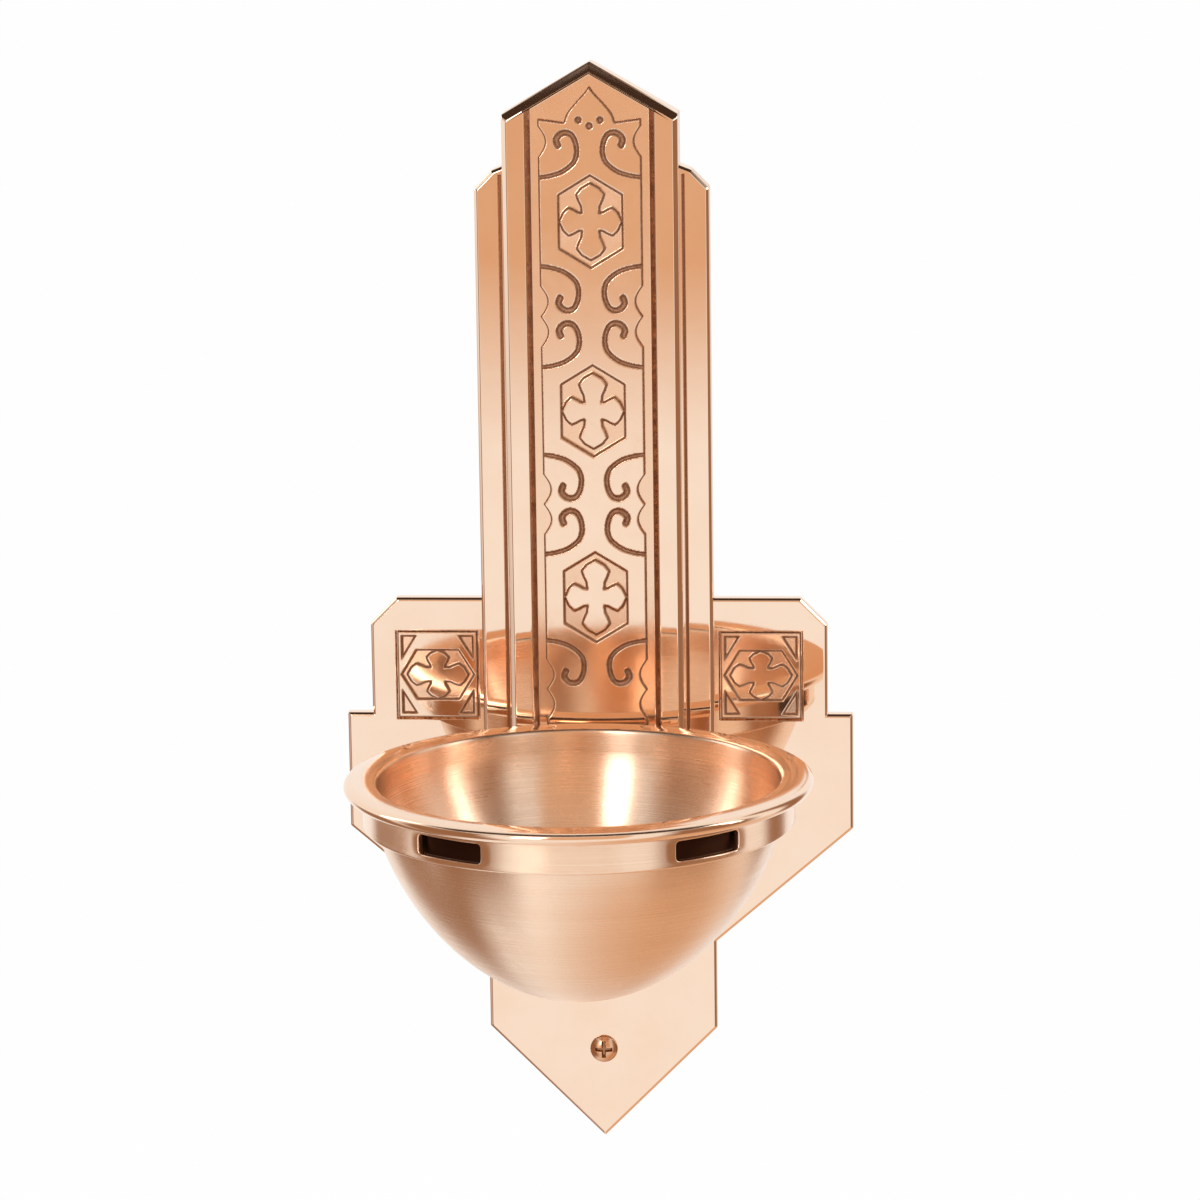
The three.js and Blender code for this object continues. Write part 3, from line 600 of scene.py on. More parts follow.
def new_group(name, inputs, outputs):
    """A node group from a vector and values to values; returns it with its web and its input."""
    tree = bpy.data.node_groups.new(name, "ShaderNodeTree")
    tree.interface.new_socket("Vector", in_out="INPUT", socket_type="NodeSocketVector")
    for way, labels in (("INPUT", inputs), ("OUTPUT", outputs)):
        for label in labels:
            tree.interface.new_socket(label, in_out=way, socket_type="NodeSocketFloat")
    web = Web(tree)
    return tree, web, web.add("NodeGroupInput").outputs


def polish_effect(name):
    """Hand polish: slow waves, cloudings, smears and short hairlines of a polished surface."""
    tree, web, given = new_group(name, ("Waves", "Hairlines"), ("Height", "Clouds", "Smear"))
    place = given["Vector"]
    slow, clouds = web.noise(place, 16.0, 1.0), web.noise(place, 34.0, 4.0, Roughness=0.6)
    drawn = web.add("ShaderNodeMapping", {"Vector": place, "Rotation": (0.0, 0.35, 0.0),
                                          "Scale": (1.0, 1.0, 0.06)})
    lines = web.noise(drawn.outputs[0], 2600.0, 2.0)
    smear = web.noise(place, 90.0, 5.0, Roughness=0.65, Distortion=0.6)
    waves, hair = web.times(slow, given["Waves"]), web.times(lines, given["Hairlines"])
    web.add("NodeGroupOutput", {
        "Height": web.plus(waves, hair), "Clouds": web.span(clouds, 0.35, 0.7),
        "Smear": web.span(smear, 0.4, 0.75)})
    return tree


def turning_effect(name):
    """Turning lines: rings left by the lathe, long round the axis and narrow along the wall."""
    tree, web, given = new_group(name, ("Run", "Fineness"), ("Height", "Lines", "Bands"))
    apart = web.add("ShaderNodeSeparateXYZ", {0: given["Vector"]}).outputs
    x, y = (web.times(apart[i], 9.0) for i in range(2))
    fine, broad = (
        web.add("ShaderNodeCombineXYZ", {0: x, 1: y, 2: web.times(given["Run"], pace)}).outputs[0]
        for pace in (given["Fineness"], 140.0))
    lines, bands = web.noise(fine, 1.0, 3.0, Roughness=0.7), web.noise(broad, 1.0, 2.0)
    web.add("NodeGroupOutput", {
        "Height": lines, "Lines": web.span(lines, 0.35, 0.7), "Bands": web.span(bands, 0.35, 0.7)})
    return tree


EFFECTS = {"Hand polish": polish_effect, "Turning lines": turning_effect}


def opaque(colour):
    """Three numbers with full alpha; a socket stays as it is."""
    return colour if isinstance(colour, bpy.types.NodeSocket) else (*colour, 1.0)


def new_material(name):
    """An empty material; returns it with its web."""
    material = bpy.data.materials.new(name)
    material.use_nodes = True
    return material, Web(material.node_tree)


def metal(web, **values):
    """Ends a material with a metal surface, whose other inputs are linked or set."""
    surface = web.add("ShaderNodeBsdfPrincipled", {"Metallic": 1.0})
    for key, value in values.items():
        web.put(value, surface.inputs[key.replace("_", " ")])
    web.add("ShaderNodeOutputMaterial", {"Surface": surface.outputs[0]})


def polished_bronze(name):
    """Mirror-polished bronze: slow waves, faint cloudings and smears, hairlines.

    depth up to 1 is patina and painted wall shade; from 1 to 2 it becomes a dark, rough coat that
    is no longer metal.
    """
    finish = bpy.context.scene.stoup_finish
    material, web = new_material(name)
    polish = web.effect("Hand polish", Vector=web.place(), Waves=1.0, Hairlines=0.012)
    depth, ground = web.mark("depth"), web.mark("ground")
    crust = web.span(depth, 1.0, 2.0)
    colour = web.mix(polish["Clouds"], finish.polished, finish.polished_deep)
    colour = web.mix(ground, colour, finish.ground)
    colour = web.mix(depth, colour, finish.patina)
    colour = web.mix(crust, colour, finish.dark_bevel)
    rough = web.span(polish["Smear"], 0.0, 1.0, finish.polish, finish.polish + 0.03)
    matt = web.math("MAXIMUM", web.span(depth, 0.0, 1.0, 0.0, 0.5), web.times(ground, 0.12))
    rough = web.plus(web.plus(rough, matt), web.times(crust, 0.4))
    metal(web, Base_Color=colour, Roughness=rough, Normal=web.bump(polish["Height"], 0.06 * MM),
          Metallic=web.math("SUBTRACT", 1.0, crust))
    return material


def cast_bronze(name):
    """Cast bronze, polished on its high parts, with patina and a grainy skin in the sunk ones, and
    painted shade on its walls.
    """
    finish = bpy.context.scene.stoup_finish
    material, web = new_material(name)
    place = web.place()
    polish = web.effect("Hand polish", Vector=place, Waves=1.0, Hairlines=0.02)
    depth, ground = web.mark("depth"), web.mark("ground")
    grain = web.noise(place, 900.0, 3.0)
    colour = web.mix(polish["Clouds"], finish.cast, finish.polished_deep)
    colour = web.mix(ground, colour, finish.ground)
    sunk = web.times(depth, web.span(grain, 0.3, 0.7, 0.7, 1.0))
    colour = web.mix(sunk, colour, finish.patina)
    matt = web.math("MAXIMUM", depth, web.times(ground, 0.22))
    rough = web.plus(web.span(matt, 0.0, 1.0, finish.polish + 0.04, 0.6),
                     web.times(polish["Smear"], 0.06))
    skin = web.times(web.times(grain, matt), 0.4)
    metal(web, Base_Color=colour, Roughness=rough,
          Normal=web.bump(web.plus(polish["Height"], skin), 0.06 * MM))
    return material


def spun_bronze(name, fineness, satin):
    """Spun bronze with turning lines round its axis, which draw its highlights out upright."""
    finish = bpy.context.scene.stoup_finish
    material, web = new_material(name)
    place, satin = web.place(), getattr(finish, satin)
    run = web.add("ShaderNodeUVMap", uv_map="turning").outputs[0]
    run = web.add("ShaderNodeSeparateXYZ", {0: run}).outputs[1]
    lines = web.effect("Turning lines", Vector=place, Run=run, Fineness=fineness)
    polish = web.effect("Hand polish", Vector=place, Waves=0.5, Hairlines=0.0)
    depth, rubbed = web.mark("depth"), web.mark("ground")
    tone = web.plus(web.times(lines["Lines"], 0.55), web.times(lines["Bands"], 0.3))
    colour = web.mix(tone, finish.spun, finish.spun_deep)
    # Painted shade: depth darkens the wall behind the ring to near black.
    colour = web.mix(depth, colour, finish.painted_ring_shade)
    rough = web.plus(web.span(lines["Lines"], 0.0, 1.0, satin - 0.03, satin + 0.05),
                     web.times(polish["Smear"], 0.05))
    rough = web.times(rough, web.span(rubbed, 0.0, 1.0, 1.0, 0.45))
    rough = web.plus(rough, web.times(depth, 0.25))
    height = web.times(lines["Height"], web.span(rubbed, 0.0, 1.0, 1.0, 0.25))
    tangent = web.add("ShaderNodeTangent", direction_type="UV_MAP", uv_map="turning")
    metal(web, Base_Color=colour, Roughness=rough, Normal=web.bump(height, 0.012 * MM, 0.6),
          Tangent=tangent.outputs[0], Anisotropic=0.9, Anisotropic_Rotation=0.25)
    return material


def screw_bronze(name):
    """Darker bronze of the screws and rivets, with patina in their recesses."""
    finish = bpy.context.scene.stoup_finish
    material, web = new_material(name)
    polish = web.effect("Hand polish", Vector=web.place(), Waves=0.5, Hairlines=0.05)
    colour = web.mix(polish["Clouds"], finish.screw, finish.polished_deep)
    colour = web.mix(web.mark("depth"), colour, finish.patina)
    rough = web.span(polish["Smear"], 0.0, 1.0, 0.2, 0.34)
    metal(web, Base_Color=colour, Roughness=rough, Normal=web.bump(polish["Height"], 0.08 * MM))
    return material


# Each finish: its slot, its maker and, for spun bronze, the lines' fineness and the roughness
FINISHES = {
    "mirror_bronze": ("polished_bronze", polished_bronze),
    "relief_bronze": ("cast_bronze", cast_bronze),
    "satin_bronze": ("spun_bronze", spun_bronze, 5200.0, "satin"),
    "turned_bronze": ("polished_bronze", spun_bronze, 4200.0, "turned"),
    "fastener_bronze": ("screw_bronze", screw_bronze),
}


def bronze(finish):
    """The material of a finish, built at its first use."""
    _, maker, *details = FINISHES[finish]
    return bpy.data.materials.get(finish) or maker(finish, *details)


# Outlines and places


def levels():
    """The Y levels of the plate's, base's and pilaster's faces, from the packed frame."""
    plate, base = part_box("back_plate"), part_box("column_base")
    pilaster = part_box("centre_pilaster")
    return plate[0][1], base[0][1], pilaster[0][1]


def gable_half(sizes):
    """The right half of the column's upper end: shoulder, eaves and gable point."""
    top = sizes.eaves - sizes.shoulder_below
    low = top - sizes.shoulder_fall
    bend = low + sizes.shoulder_fall * sizes.shoulder_bend
    return [
        (sizes.column_half, low), (sizes.column_half - sizes.shoulder_run, bend),
        (sizes.pilaster_half, top), (sizes.pilaster_half, sizes.eaves),
        (0, sizes.eaves + sizes.gable_rise),
    ]


def plate_outline(sizes):
    """The wall plate's outline: pointed tail, skirt, wings and column."""
    wing = sizes.skirt_half - sizes.skirt_step
    return mirrored([
        (0, -sizes.tail_corner - sizes.tail_half), (sizes.tail_half, -sizes.tail_corner),
        (sizes.tail_half, -sizes.tail_top), (sizes.skirt_half, -sizes.skirt_height),
        (sizes.skirt_half, 0), (wing, 0), (wing, sizes.wing_top - sizes.wing_chamfer),
        (wing - sizes.wing_chamfer, sizes.wing_top), (sizes.column_half, sizes.wing_top),
        *gable_half(sizes),
    ])


def keyhole(sizes, x, z, steps=14):
    """A round hole with a slot above it that ends in a half circle."""
    meet = math.asin(sizes.keyhole_neck / sizes.keyhole_entry)
    turn = np.linspace(math.pi / 2 + meet, 5 * math.pi / 2 - meet, 2 * steps)
    top = np.linspace(0, math.pi, steps)
    entry = np.stack([np.cos(turn), np.sin(turn)], 1) * sizes.keyhole_entry
    end = np.stack([np.cos(top), np.sin(top)], 1) * sizes.keyhole_neck + (0, sizes.keyhole_travel)
    return np.concatenate([entry, end]) + (x, z)


def middle(node):
    """The middle of a node's box."""
    low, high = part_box(node)
    return (np.array(low) + np.array(high)) / 2


def seat(node, room):
    """The countersunk seat of a screw or rivet, as rings from its floor to the plate's back."""
    low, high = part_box(node)
    x, _, z = middle(node)
    head = (high[0] - low[0]) / 2
    stem, wide = head / 2 + room, head + room
    rings = ((stem, -head * SEAT_DEPTH), (stem, -head / 2 - room), (wide, -HEAD_EDGE * head),
             (wide, 0))
    return np.array([np.insert(circle(radius, x, z, 32), 1, y, axis=1) for radius, y in rings])


SEAT_DEPTH, HEAD_EDGE = 0.62, 0.05  # of a countersunk seat and head, as shares of the head's radius
BACK_SCREWS = [f"pilaster_screw_{i}" for i in range(1, 5)] + ["bracket_screw_1", "bracket_screw_2"]
TILE_RIVETS = [f"tile_rivet_{i}" for i in range(1, 5)]
STRIP_RIVETS = [f"strip_rivet_{i}" for i in range(1, 4)]
WING_TILES = ["left_wing_tile", "right_wing_tile"]
TILE_ROOM = 0.5 * MM  # gap round a tile in its recess
RECESS_SLOPE, RECESS_EDGE, RECESS_CORNER = 0.15 * MM, 0.2 * MM, 0.3 * MM
HOLE_LIP, HOLE_EDGE = 0.4 * MM, 0.2 * MM  # flat rim round a through hole and the easing of its edge
PANEL_EDGE, PANEL_CORNER = 0.3 * MM, 0.4 * MM
# The panel's walls take patina with painted shade; the gable's bevel takes a dark, rough coat.
WALL_PATINA_AND_SHADE, DARK_BEVEL = 0.75, 2.0  # depth marks of the panel's walls and of the gable's bevel


class STOUP_OT_back_plate(bpy.types.Operator):
    """Builds the wall plate with its bevel, tile recesses, keyhole and screw seats"""

    bl_idname = "stoup.back_plate"
    bl_label = "Wall plate"

    def execute(self, context):
        sizes, fasteners = context.scene.stoup_plates, context.scene.stoup_fasteners
        front = levels()[0]
        profile = bevelled(0.0, front, sizes.bevel, sizes.edge)
        rings = carried(plate_outline(sizes), profile, sizes.corner)
        holes = []
        for node in WING_TILES:
            low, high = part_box(node)
            x, _, z = middle(node)
            half_x, half_z = ((high[i] - low[i]) / 2 + TILE_ROOM for i in (0, 2))
            wall = sunk_wall(front, high[1], RECESS_SLOPE, RECESS_EDGE)
            loop = rectangle(half_x, half_z, x, z)
            holes.append((carried(loop, wall, RECESS_CORNER), True, False))
        x, _, z = middle("wall_screw")
        bore = circle(fasteners.shank + fasteners.room, x, z, 32)
        key = keyhole(fasteners, 0.0, sizes.eaves - fasteners.keyhole_below)
        through = eased([(-HOLE_LIP, front), (0, front), (0, 0), (-HOLE_LIP, 0)], HOLE_EDGE,
                        closed=False).tolist()
        holes += [(carried(loop, through), True, True) for loop in (bore, key)]
        holes += [(seat(node, fasteners.room), False, True) for node in BACK_SCREWS + TILE_RIVETS]
        finish_piece("back_plate", plate_shell(rings, holes), "mirror_bronze", flat=True)
        return {"FINISHED"}


class STOUP_OT_column(bpy.types.Operator):
    """Builds the column's two layers: the base with shoulders and the pilaster with its panel"""

    bl_idname = "stoup.column"
    bl_label = "Column"

    def execute(self, context):
        sizes = context.scene.stoup_plates
        plate, base, pilaster = levels()
        outline = mirrored([(0, -sizes.base_low), (sizes.column_half, -sizes.base_low),
                            *gable_half(sizes)])
        rings = carried(outline, bevelled(plate, base, sizes.base_bevel, sizes.edge), sizes.corner)
        foot = -sizes.base_low + 2 * sizes.base_bevel
        head = sizes.eaves - sizes.shoulder_below - 3 * sizes.base_bevel
        floor = 0.1 * sizes.groove_half
        wall = sunk_wall(base, base + sizes.groove_depth, sizes.groove_half - floor, floor)
        lines = [carried(rectangle(floor * 3, (head - foot) / 2, x, (head + foot) / 2), wall)
                 for x in (-sizes.groove_out, sizes.groove_out)]
        shell = plate_shell(rings, [(line, True, False) for line in lines])
        # Patina and painted shade on the walls and floor of the lines beside the pilaster.
        for points, depth in zip(shell.points, shell.depth):
            aside = np.abs(np.abs(points[:, 0]) - sizes.groove_out) < sizes.groove_half
            depth += aside * (points[:, 1] > base + 0.1 * sizes.groove_depth)
        finish_piece("column_base", shell, "mirror_bronze", flat=True)

        slope = sizes.gable_rise / sizes.pilaster_half
        apex = sizes.eaves + sizes.gable_rise
        outline = mirrored([(0, -sizes.pilaster_low), (sizes.pilaster_half, -sizes.pilaster_low),
                            (sizes.pilaster_half, sizes.eaves), (0, apex)])
        bevel, gable = sizes.pilaster_bevel, sizes.gable_bevel
        profile = bevelled(base, pilaster, (bevel, bevel, gable, gable, bevel, bevel), sizes.edge)
        rings = carried(outline, profile, sizes.corner)
        top = apex - (gable + sizes.panel_ridge + sizes.panel_steep) * math.hypot(1, slope)
        half = sizes.panel_half - sizes.panel_slope
        panel = mirrored([(0, -sizes.panel_low), (half, -sizes.panel_low),
                          (half, top - half * slope), (0, top)])
        long, end = sizes.panel_slope, sizes.panel_steep
        wall = sunk_wall(pilaster, pilaster + sizes.panel_depth, (end, long, end, end, long, end),
                         PANEL_EDGE)
        shell = plate_shell(rings, [(carried(panel, wall, PANEL_CORNER), True, False)])
        for points, depth, ground in zip(shell.points, shell.depth, shell.ground):
            sunk = (points[:, 1] - pilaster) / sizes.panel_depth
            inside = np.abs(points[:, 0]) < sizes.panel_half
            ground += inside * (sunk > 0.9) * (sunk < 1.1) * (points[:, 2] > -sizes.panel_low)
            # Patina and painted shade on the panel's walls.
            depth += WALL_PATINA_AND_SHADE * inside * np.clip(sunk, 0, 1) * (sunk < 0.99)
            # The gable's bevel takes the dark, rough coat.
            roof = points[:, 2] > apex - np.abs(points[:, 0]) * slope - 0.1 * gable
            depth += DARK_BEVEL * roof * (points[:, 2] > sizes.eaves + sizes.edge)
        finish_piece("centre_pilaster", shell, "mirror_bronze", flat=True)
        return {"FINISHED"}


# Ornament

SCROLL_LINE = MM * np.array([
    (12.3, -7.4), (12.9, -5.2), (11.4, -3.2), (9.2, -2.5), (7, -3.4), (5.5, -6.2), (5, -10),
    (6.2, -14), (10.4, -17.5), (15.2, -19.2), (19.6, -19.9),
])
# The right half of the ogee, as shares of its half width and of its rise
OGEE_LINE = ((1, 0), (0.93, 0.16), (0.8, 0.32), (0.5, 0.57), (0.2, 0.8), (0, 1))
TILE_EDGE, TILE_ROUND = 0.6 * MM, 0.6  # rounding of a tile's edge: width, share of the depth
GROOVE = 0.9  # depth of grooves, buds and rounded edges, as a share of the relief's depth


def hexagon_loop(relief):
    """A hexagon that stands on its point."""
    return mirrored([
        (0, -relief.hexagon_point), (relief.hexagon_half, -relief.hexagon_side),
        (relief.hexagon_half, relief.hexagon_side), (0, relief.hexagon_point),
    ])


def cross_loop(relief):
    """A cross whose four arms flare from a narrow neck and end in a blunt point."""
    neck, flare = relief.cross_neck, relief.cross_flare

    def arm(reach):
        half = np.array([
            (neck, neck), (neck + 0.3 * MM, reach * 0.42), (flare * 0.86, reach * 0.58),
            (flare, reach * 0.72), (flare * 0.66, reach * 0.87), (0, reach),
        ])
        return np.concatenate([half, half[-2:0:-1] * (-1, 1)])

    up = arm(relief.cross_long)
    left = arm(relief.cross_short) @ np.array([(0, 1), (-1, 0)])
    return np.concatenate([up, left, -up, -left])


def pocket_level(relief, u, v, hexagon, cross):
    """How far the ground round a cross is sunk: 0 on the field, 1 on the floor of the pocket."""
    outside = np.maximum(signed_distance(u, v, hexagon), -signed_distance(u, v, cross))
    return smooth(0, relief.wall, -outside)


def scroll_level(relief, u, v):
    """How deep the four scrolls' grooves lie: round grooves that widen towards their curled end."""
    line = spline(SCROLL_LINE, 5)
    far, along = line_distance(np.abs(u), -np.abs(v), line)
    half = relief.scroll_width * (1.25 - 0.6 * along)
    return GROOVE * np.clip(1 - (far / half) ** 2, 0, 1)


def strip_edge(relief, v, groups, shoulder):
    """Half the strip's width at a height, with scallops of |sin| beside each group of scrolls.

    The top group, whose upper scallop would pass the shoulder, has only its lower one.
    """
    half = np.full(v.shape, relief.strip_half)
    for group in groups:
        near = np.abs(v - group)
        bite = np.abs(np.sin(math.pi * near / relief.scallop_half))
        cut = near < relief.scallop_half
        if group + relief.scallop_half > shoulder:
            cut &= v < group
        half = half - np.where(cut, relief.scallop_depth * bite, 0)
    return half


def rounding(rim, width):
    """A quarter round along an edge, 1 - sqrt(1 - (1 - d/w)^2): 1 at the edge and 0 at w inside."""
    return 1 - np.sqrt(np.clip(1 - (1 - np.clip(rim / width, 0, 1)) ** 2, 0, 1))


def relief_shell(front_grids, back, cap_loop):
    """A relief from its front grids, with a skirt from its rim to the flat back."""
    shell = Shell()
    for points, dark, ground in front_grids:
        shell.grid(points, depth=dark, ground=ground)
    lower = cap_loop * (1, 0, 1) + (0, back, 0)
    # Patina and painted shade: the skirt from the rim down to the back is dark all over.
    shell.grid(np.stack([cap_loop, lower]), wrap_columns=True, depth=np.ones((2, len(lower))))
    shell.cap(lower)
    return shell


def patina_and_wall_shade(points):
    """Patina and painted shade of a relief: how far its surface turns from the front, so every wall
    and rounded edge is darkened.
    """
    across, up = np.gradient(points, axis=1), np.gradient(points, axis=0)
    normal = np.cross(across, up)
    size = np.maximum(np.linalg.norm(normal, axis=-1), 1e-15)
    return smooth(0.04, 0.3, np.hypot(normal[..., 0], normal[..., 2]) / size)


class STOUP_OT_ornament_strip(bpy.types.Operator):
    """Builds the strip's relief: hexagons with crosses, scrolls, scalloped sides and the ogee"""

    bl_idname = "stoup.ornament_strip"
    bl_label = "Ornament strip"

    def execute(self, context):
        relief = context.scene.stoup_relief
        low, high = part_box("ornament_strip")
        front, back, foot_z, apex = low[1], high[1], low[2], high[2]
        shoulder = apex - relief.ogee_rise
        first = apex - relief.hexagon_drop
        hexagons = np.arange(first, foot_z + relief.hexagon_point, -relief.pitch)
        groups = np.arange(first + relief.pitch / 2, foot_z + relief.scallop_half / 2,
                           -relief.pitch)
        hexagon, cross = hexagon_loop(relief), cross_loop(relief)

        def ground(u, v, rim):
            """Height map: field, less pockets, scrolls, buds and the rounding along the rim."""
            level, dark, matt = np.zeros((3, *u.shape))
            for z in hexagons:
                near = np.abs(v - z) < relief.hexagon_point + MM
                level[near] += pocket_level(relief, u[near], v[near] - z, hexagon, cross)
            matt += level
            reach = -SCROLL_LINE[:, 1].min() + 2 * relief.scroll_width
            for z in groups:
                near = np.abs(v - z) < reach
                near &= (v < z) | (z + reach < shoulder + 2 * MM)
                near &= (v > z) | (z - reach > foot_z)
                scroll = scroll_level(relief, u[near], v[near] - z)
                level[near] = np.maximum(level[near], scroll)
                dark[near] = np.maximum(dark[near], smooth(0.25, 0.8, scroll))
            up, down = relief.bud_up, -relief.bud_down
            for x, z in ((-relief.bud_spread, up), (0, down), (relief.bud_spread, up)):
                far = np.hypot(u - x, v - shoulder - z)
                bud = np.clip(1 - (far / relief.bud_radius) ** 2, 0, 1)
                level = np.maximum(level, GROOVE * bud)
                dark = np.maximum(dark, smooth(0.1, 0.6, bud))
            soft = GROOVE * rounding(rim, relief.round_edge)
            points = np.stack([u, front + relief.depth * (level + soft), v], -1)
            return points, np.maximum(dark, patina_and_wall_shade(points)), matt

        columns = 2 * int(relief.strip_half / relief.pace) + 1
        rows = int((shoulder - foot_z) / relief.pace * 0.85)
        s = np.linspace(-1, 1, columns)[None, :]
        out = np.abs(s) * relief.strip_half - relief.ogee_half
        roof = shoulder + relief.corner_rise * np.clip(
            out / (relief.strip_half - relief.ogee_half), 0, 1)
        v = foot_z + (roof - foot_z) * np.linspace(0, 1, rows)[:, None]
        half = strip_edge(relief, v, groups, shoulder)
        u = s * half
        ogee = spline(OGEE_LINE, 8)
        kept = np.abs(u[-1]) <= relief.ogee_half + relief.pace / 2
        base = u[-1][kept]
        widest = np.abs(base).max()
        ogee_half = ogee[:, :1] * widest
        ogee_u = base / widest * ogee_half
        ogee_v = np.broadcast_to(shoulder + ogee[:, 1:] * relief.ogee_rise, ogee_u.shape)
        to_roof = np.hypot(np.maximum(0, widest - np.abs(u)), roof - v)
        rim = np.minimum(np.minimum(half - np.abs(u), v - foot_z), to_roof)
        ogee_rim = (ogee_half - np.abs(ogee_u)) * 0.8
        grids = body, point = ground(u, v, rim), ground(ogee_u, ogee_v, ogee_rim)
        for lower, upper in zip(body, point):
            upper[0] = lower[-1][kept]
        body, point = body[0], point[0]
        left, right = np.flatnonzero(kept)[[0, -1]]
        loop = np.concatenate([
            body[0], body[1:, -1], body[-1, right:-1][::-1], point[1:, -1],
            point[1:-1, 0][::-1], body[-1, 1:left + 1][::-1], body[1:, 0][::-1],
        ])
        shell = relief_shell(grids, back, loop)
        finish_piece("ornament_strip", shell, "relief_bronze", sharp=80)
        return {"FINISHED"}


class STOUP_OT_wing_tiles(bpy.types.Operator):
    """Builds the two wing tiles: the strip's hexagon and cross on their side, with sunk corners"""

    bl_idname = "stoup.wing_tiles"
    bl_label = "Wing tiles"

    def execute(self, context):
        relief = context.scene.stoup_relief
        for node in WING_TILES:
            low, high = (np.array(corner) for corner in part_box(node))
            centre, half = (low + high) / 2, (high - low) / 2
            ratio = (half[0] - relief.tile_gap) / relief.hexagon_point
            side = np.array([(0, 1), (-1, 0)]) * ratio
            hexagon, cross = hexagon_loop(relief) @ side, cross_loop(relief) @ side
            columns, rows = (2 * int(half[i] / relief.pace * 1.15) + 1 for i in (0, 2))
            u, v = np.meshgrid(np.linspace(-half[0], half[0], columns),
                               np.linspace(-half[2], half[2], rows))
            level = pocket_level(relief, u, v, hexagon, cross)
            point, flat = relief.hexagon_point * ratio, relief.hexagon_side * ratio
            slope = relief.hexagon_half * ratio / (point - flat)
            beyond = (np.abs(v) - (point - np.abs(u)) * slope) / math.hypot(1, slope)
            beyond -= relief.tile_corner_gap
            rim = np.minimum(half[0] - np.abs(u), half[2] - np.abs(v))
            corner = smooth(0, relief.wall, np.minimum(beyond, rim - relief.tile_border))
            level = np.maximum(level, corner)
            soft = TILE_ROUND * relief.depth * rounding(rim, TILE_EDGE)
            y = low[1] + relief.depth * level + soft
            points = np.stack([u + centre[0], y, v + centre[2]], -1)
            loop = np.concatenate([points[0], points[1:, -1], points[-1, :-1][::-1],
                                   points[1:-1, 0][::-1]])
            shell = relief_shell([(points, patina_and_wall_shade(points), level)], high[1], loop)
            finish_piece(node, shell, "relief_bronze", sharp=80)
        return {"FINISHED"}


# Bowl and ring


def bowl_curve(radius, depth, top, power, rows):
    """Half the bowl's wall from its edge down: r = R sqrt(1 - t^p), z = top - depth t."""
    turn = np.linspace(0, math.pi / 2, rows)
    t = np.sin(turn) ** 2
    points = np.stack([radius * np.sqrt(1 - t**power), top - depth * t], 1)
    points[-1, 0] = 0
    return points


def arc(radius_r, radius_z, centre, start, end, steps):
    """Part of an ellipse in radius and height, between two angles in degrees."""
    turn = np.radians(np.linspace(start, end, steps))
    return np.stack([centre[0] + radius_r * np.cos(turn), centre[1] + radius_z * np.sin(turn)], 1)


# Painted shade on the bowl's wall behind the ring sets in between these heights.
RING_SHADE_FOOT, RING_SHADE_FULL = -18.6 * MM, -17.6 * MM  # heights where tarnish sets in
RIM_NECK = 1.5 * MM  # flat under the rim beside the wall


class STOUP_OT_bowl(bpy.types.Operator):
    """Builds the spun bowl with its rolled rim"""

    bl_idname = "stoup.bowl"
    bl_label = "Bowl"

    def execute(self, context):
        bowl = context.scene.stoup_bowl
        low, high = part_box("bowl")
        centre, rim = middle("bowl"), (high[0] - low[0]) / 2
        top, under = high[2], high[2] - bowl.rim_thick
        inner = bowl.radius - bowl.wall
        roll = bowl.rim_thick / 2
        lip = rim - bowl.rim_width - inner
        flat = top - bowl.flat
        outside = bowl_curve(bowl.radius, flat - low[2], flat, bowl.power, 72)
        inside = bowl_curve(inner, flat - low[2] - bowl.wall, flat, bowl.power, 72)
        start, end = rim - bowl.rim_width, rim - roll
        across = np.linspace(0, 1, 12)[1:-1]
        crown = np.stack([end + (start - end) * across,
                          top - bowl.crown * (2 * across - 1) ** 2], 1)
        profile = np.concatenate([
            outside[::-1],
            [(bowl.radius, flat + (under - flat) * i / 4) for i in (1, 2, 3)],
            [(bowl.radius, under), (bowl.radius + RIM_NECK, under)],
            arc(roll, roll, (end, under + roll), -90, 0, 10),
            arc(roll, roll - bowl.crown, (end, under + roll), 0, 90, 10)[1:],
            crown,
            arc(lip, lip - bowl.crown, (start, top - lip), 90, 180, 10),
            [(inner, top - lip + (flat - top + lip) * i / 5) for i in (1, 2, 3, 4)],
            inside,
        ])
        radius, height = profile.T
        # Painted shade: a dark band where the ring covers the wall, for the shade seen through its
        # windows.
        ring_shade = smooth(RING_SHADE_FOOT, RING_SHADE_FULL, height) * (height < under + 0.1 * MM)
        ring_shade *= (radius < bowl.radius + 2 * MM) & (radius > inner + 0.5 * bowl.wall)
        rubbed = (height > under - 0.1 * MM) & (radius > inner + 0.3 * lip)
        shell = turned_shell(profile, centre, bowl.turns, depth=ring_shade, ground=1.0 * rubbed)
        finish_piece("bowl", shell, "satin_bronze", LIFTED, sharp=60)
        return {"FINISHED"}


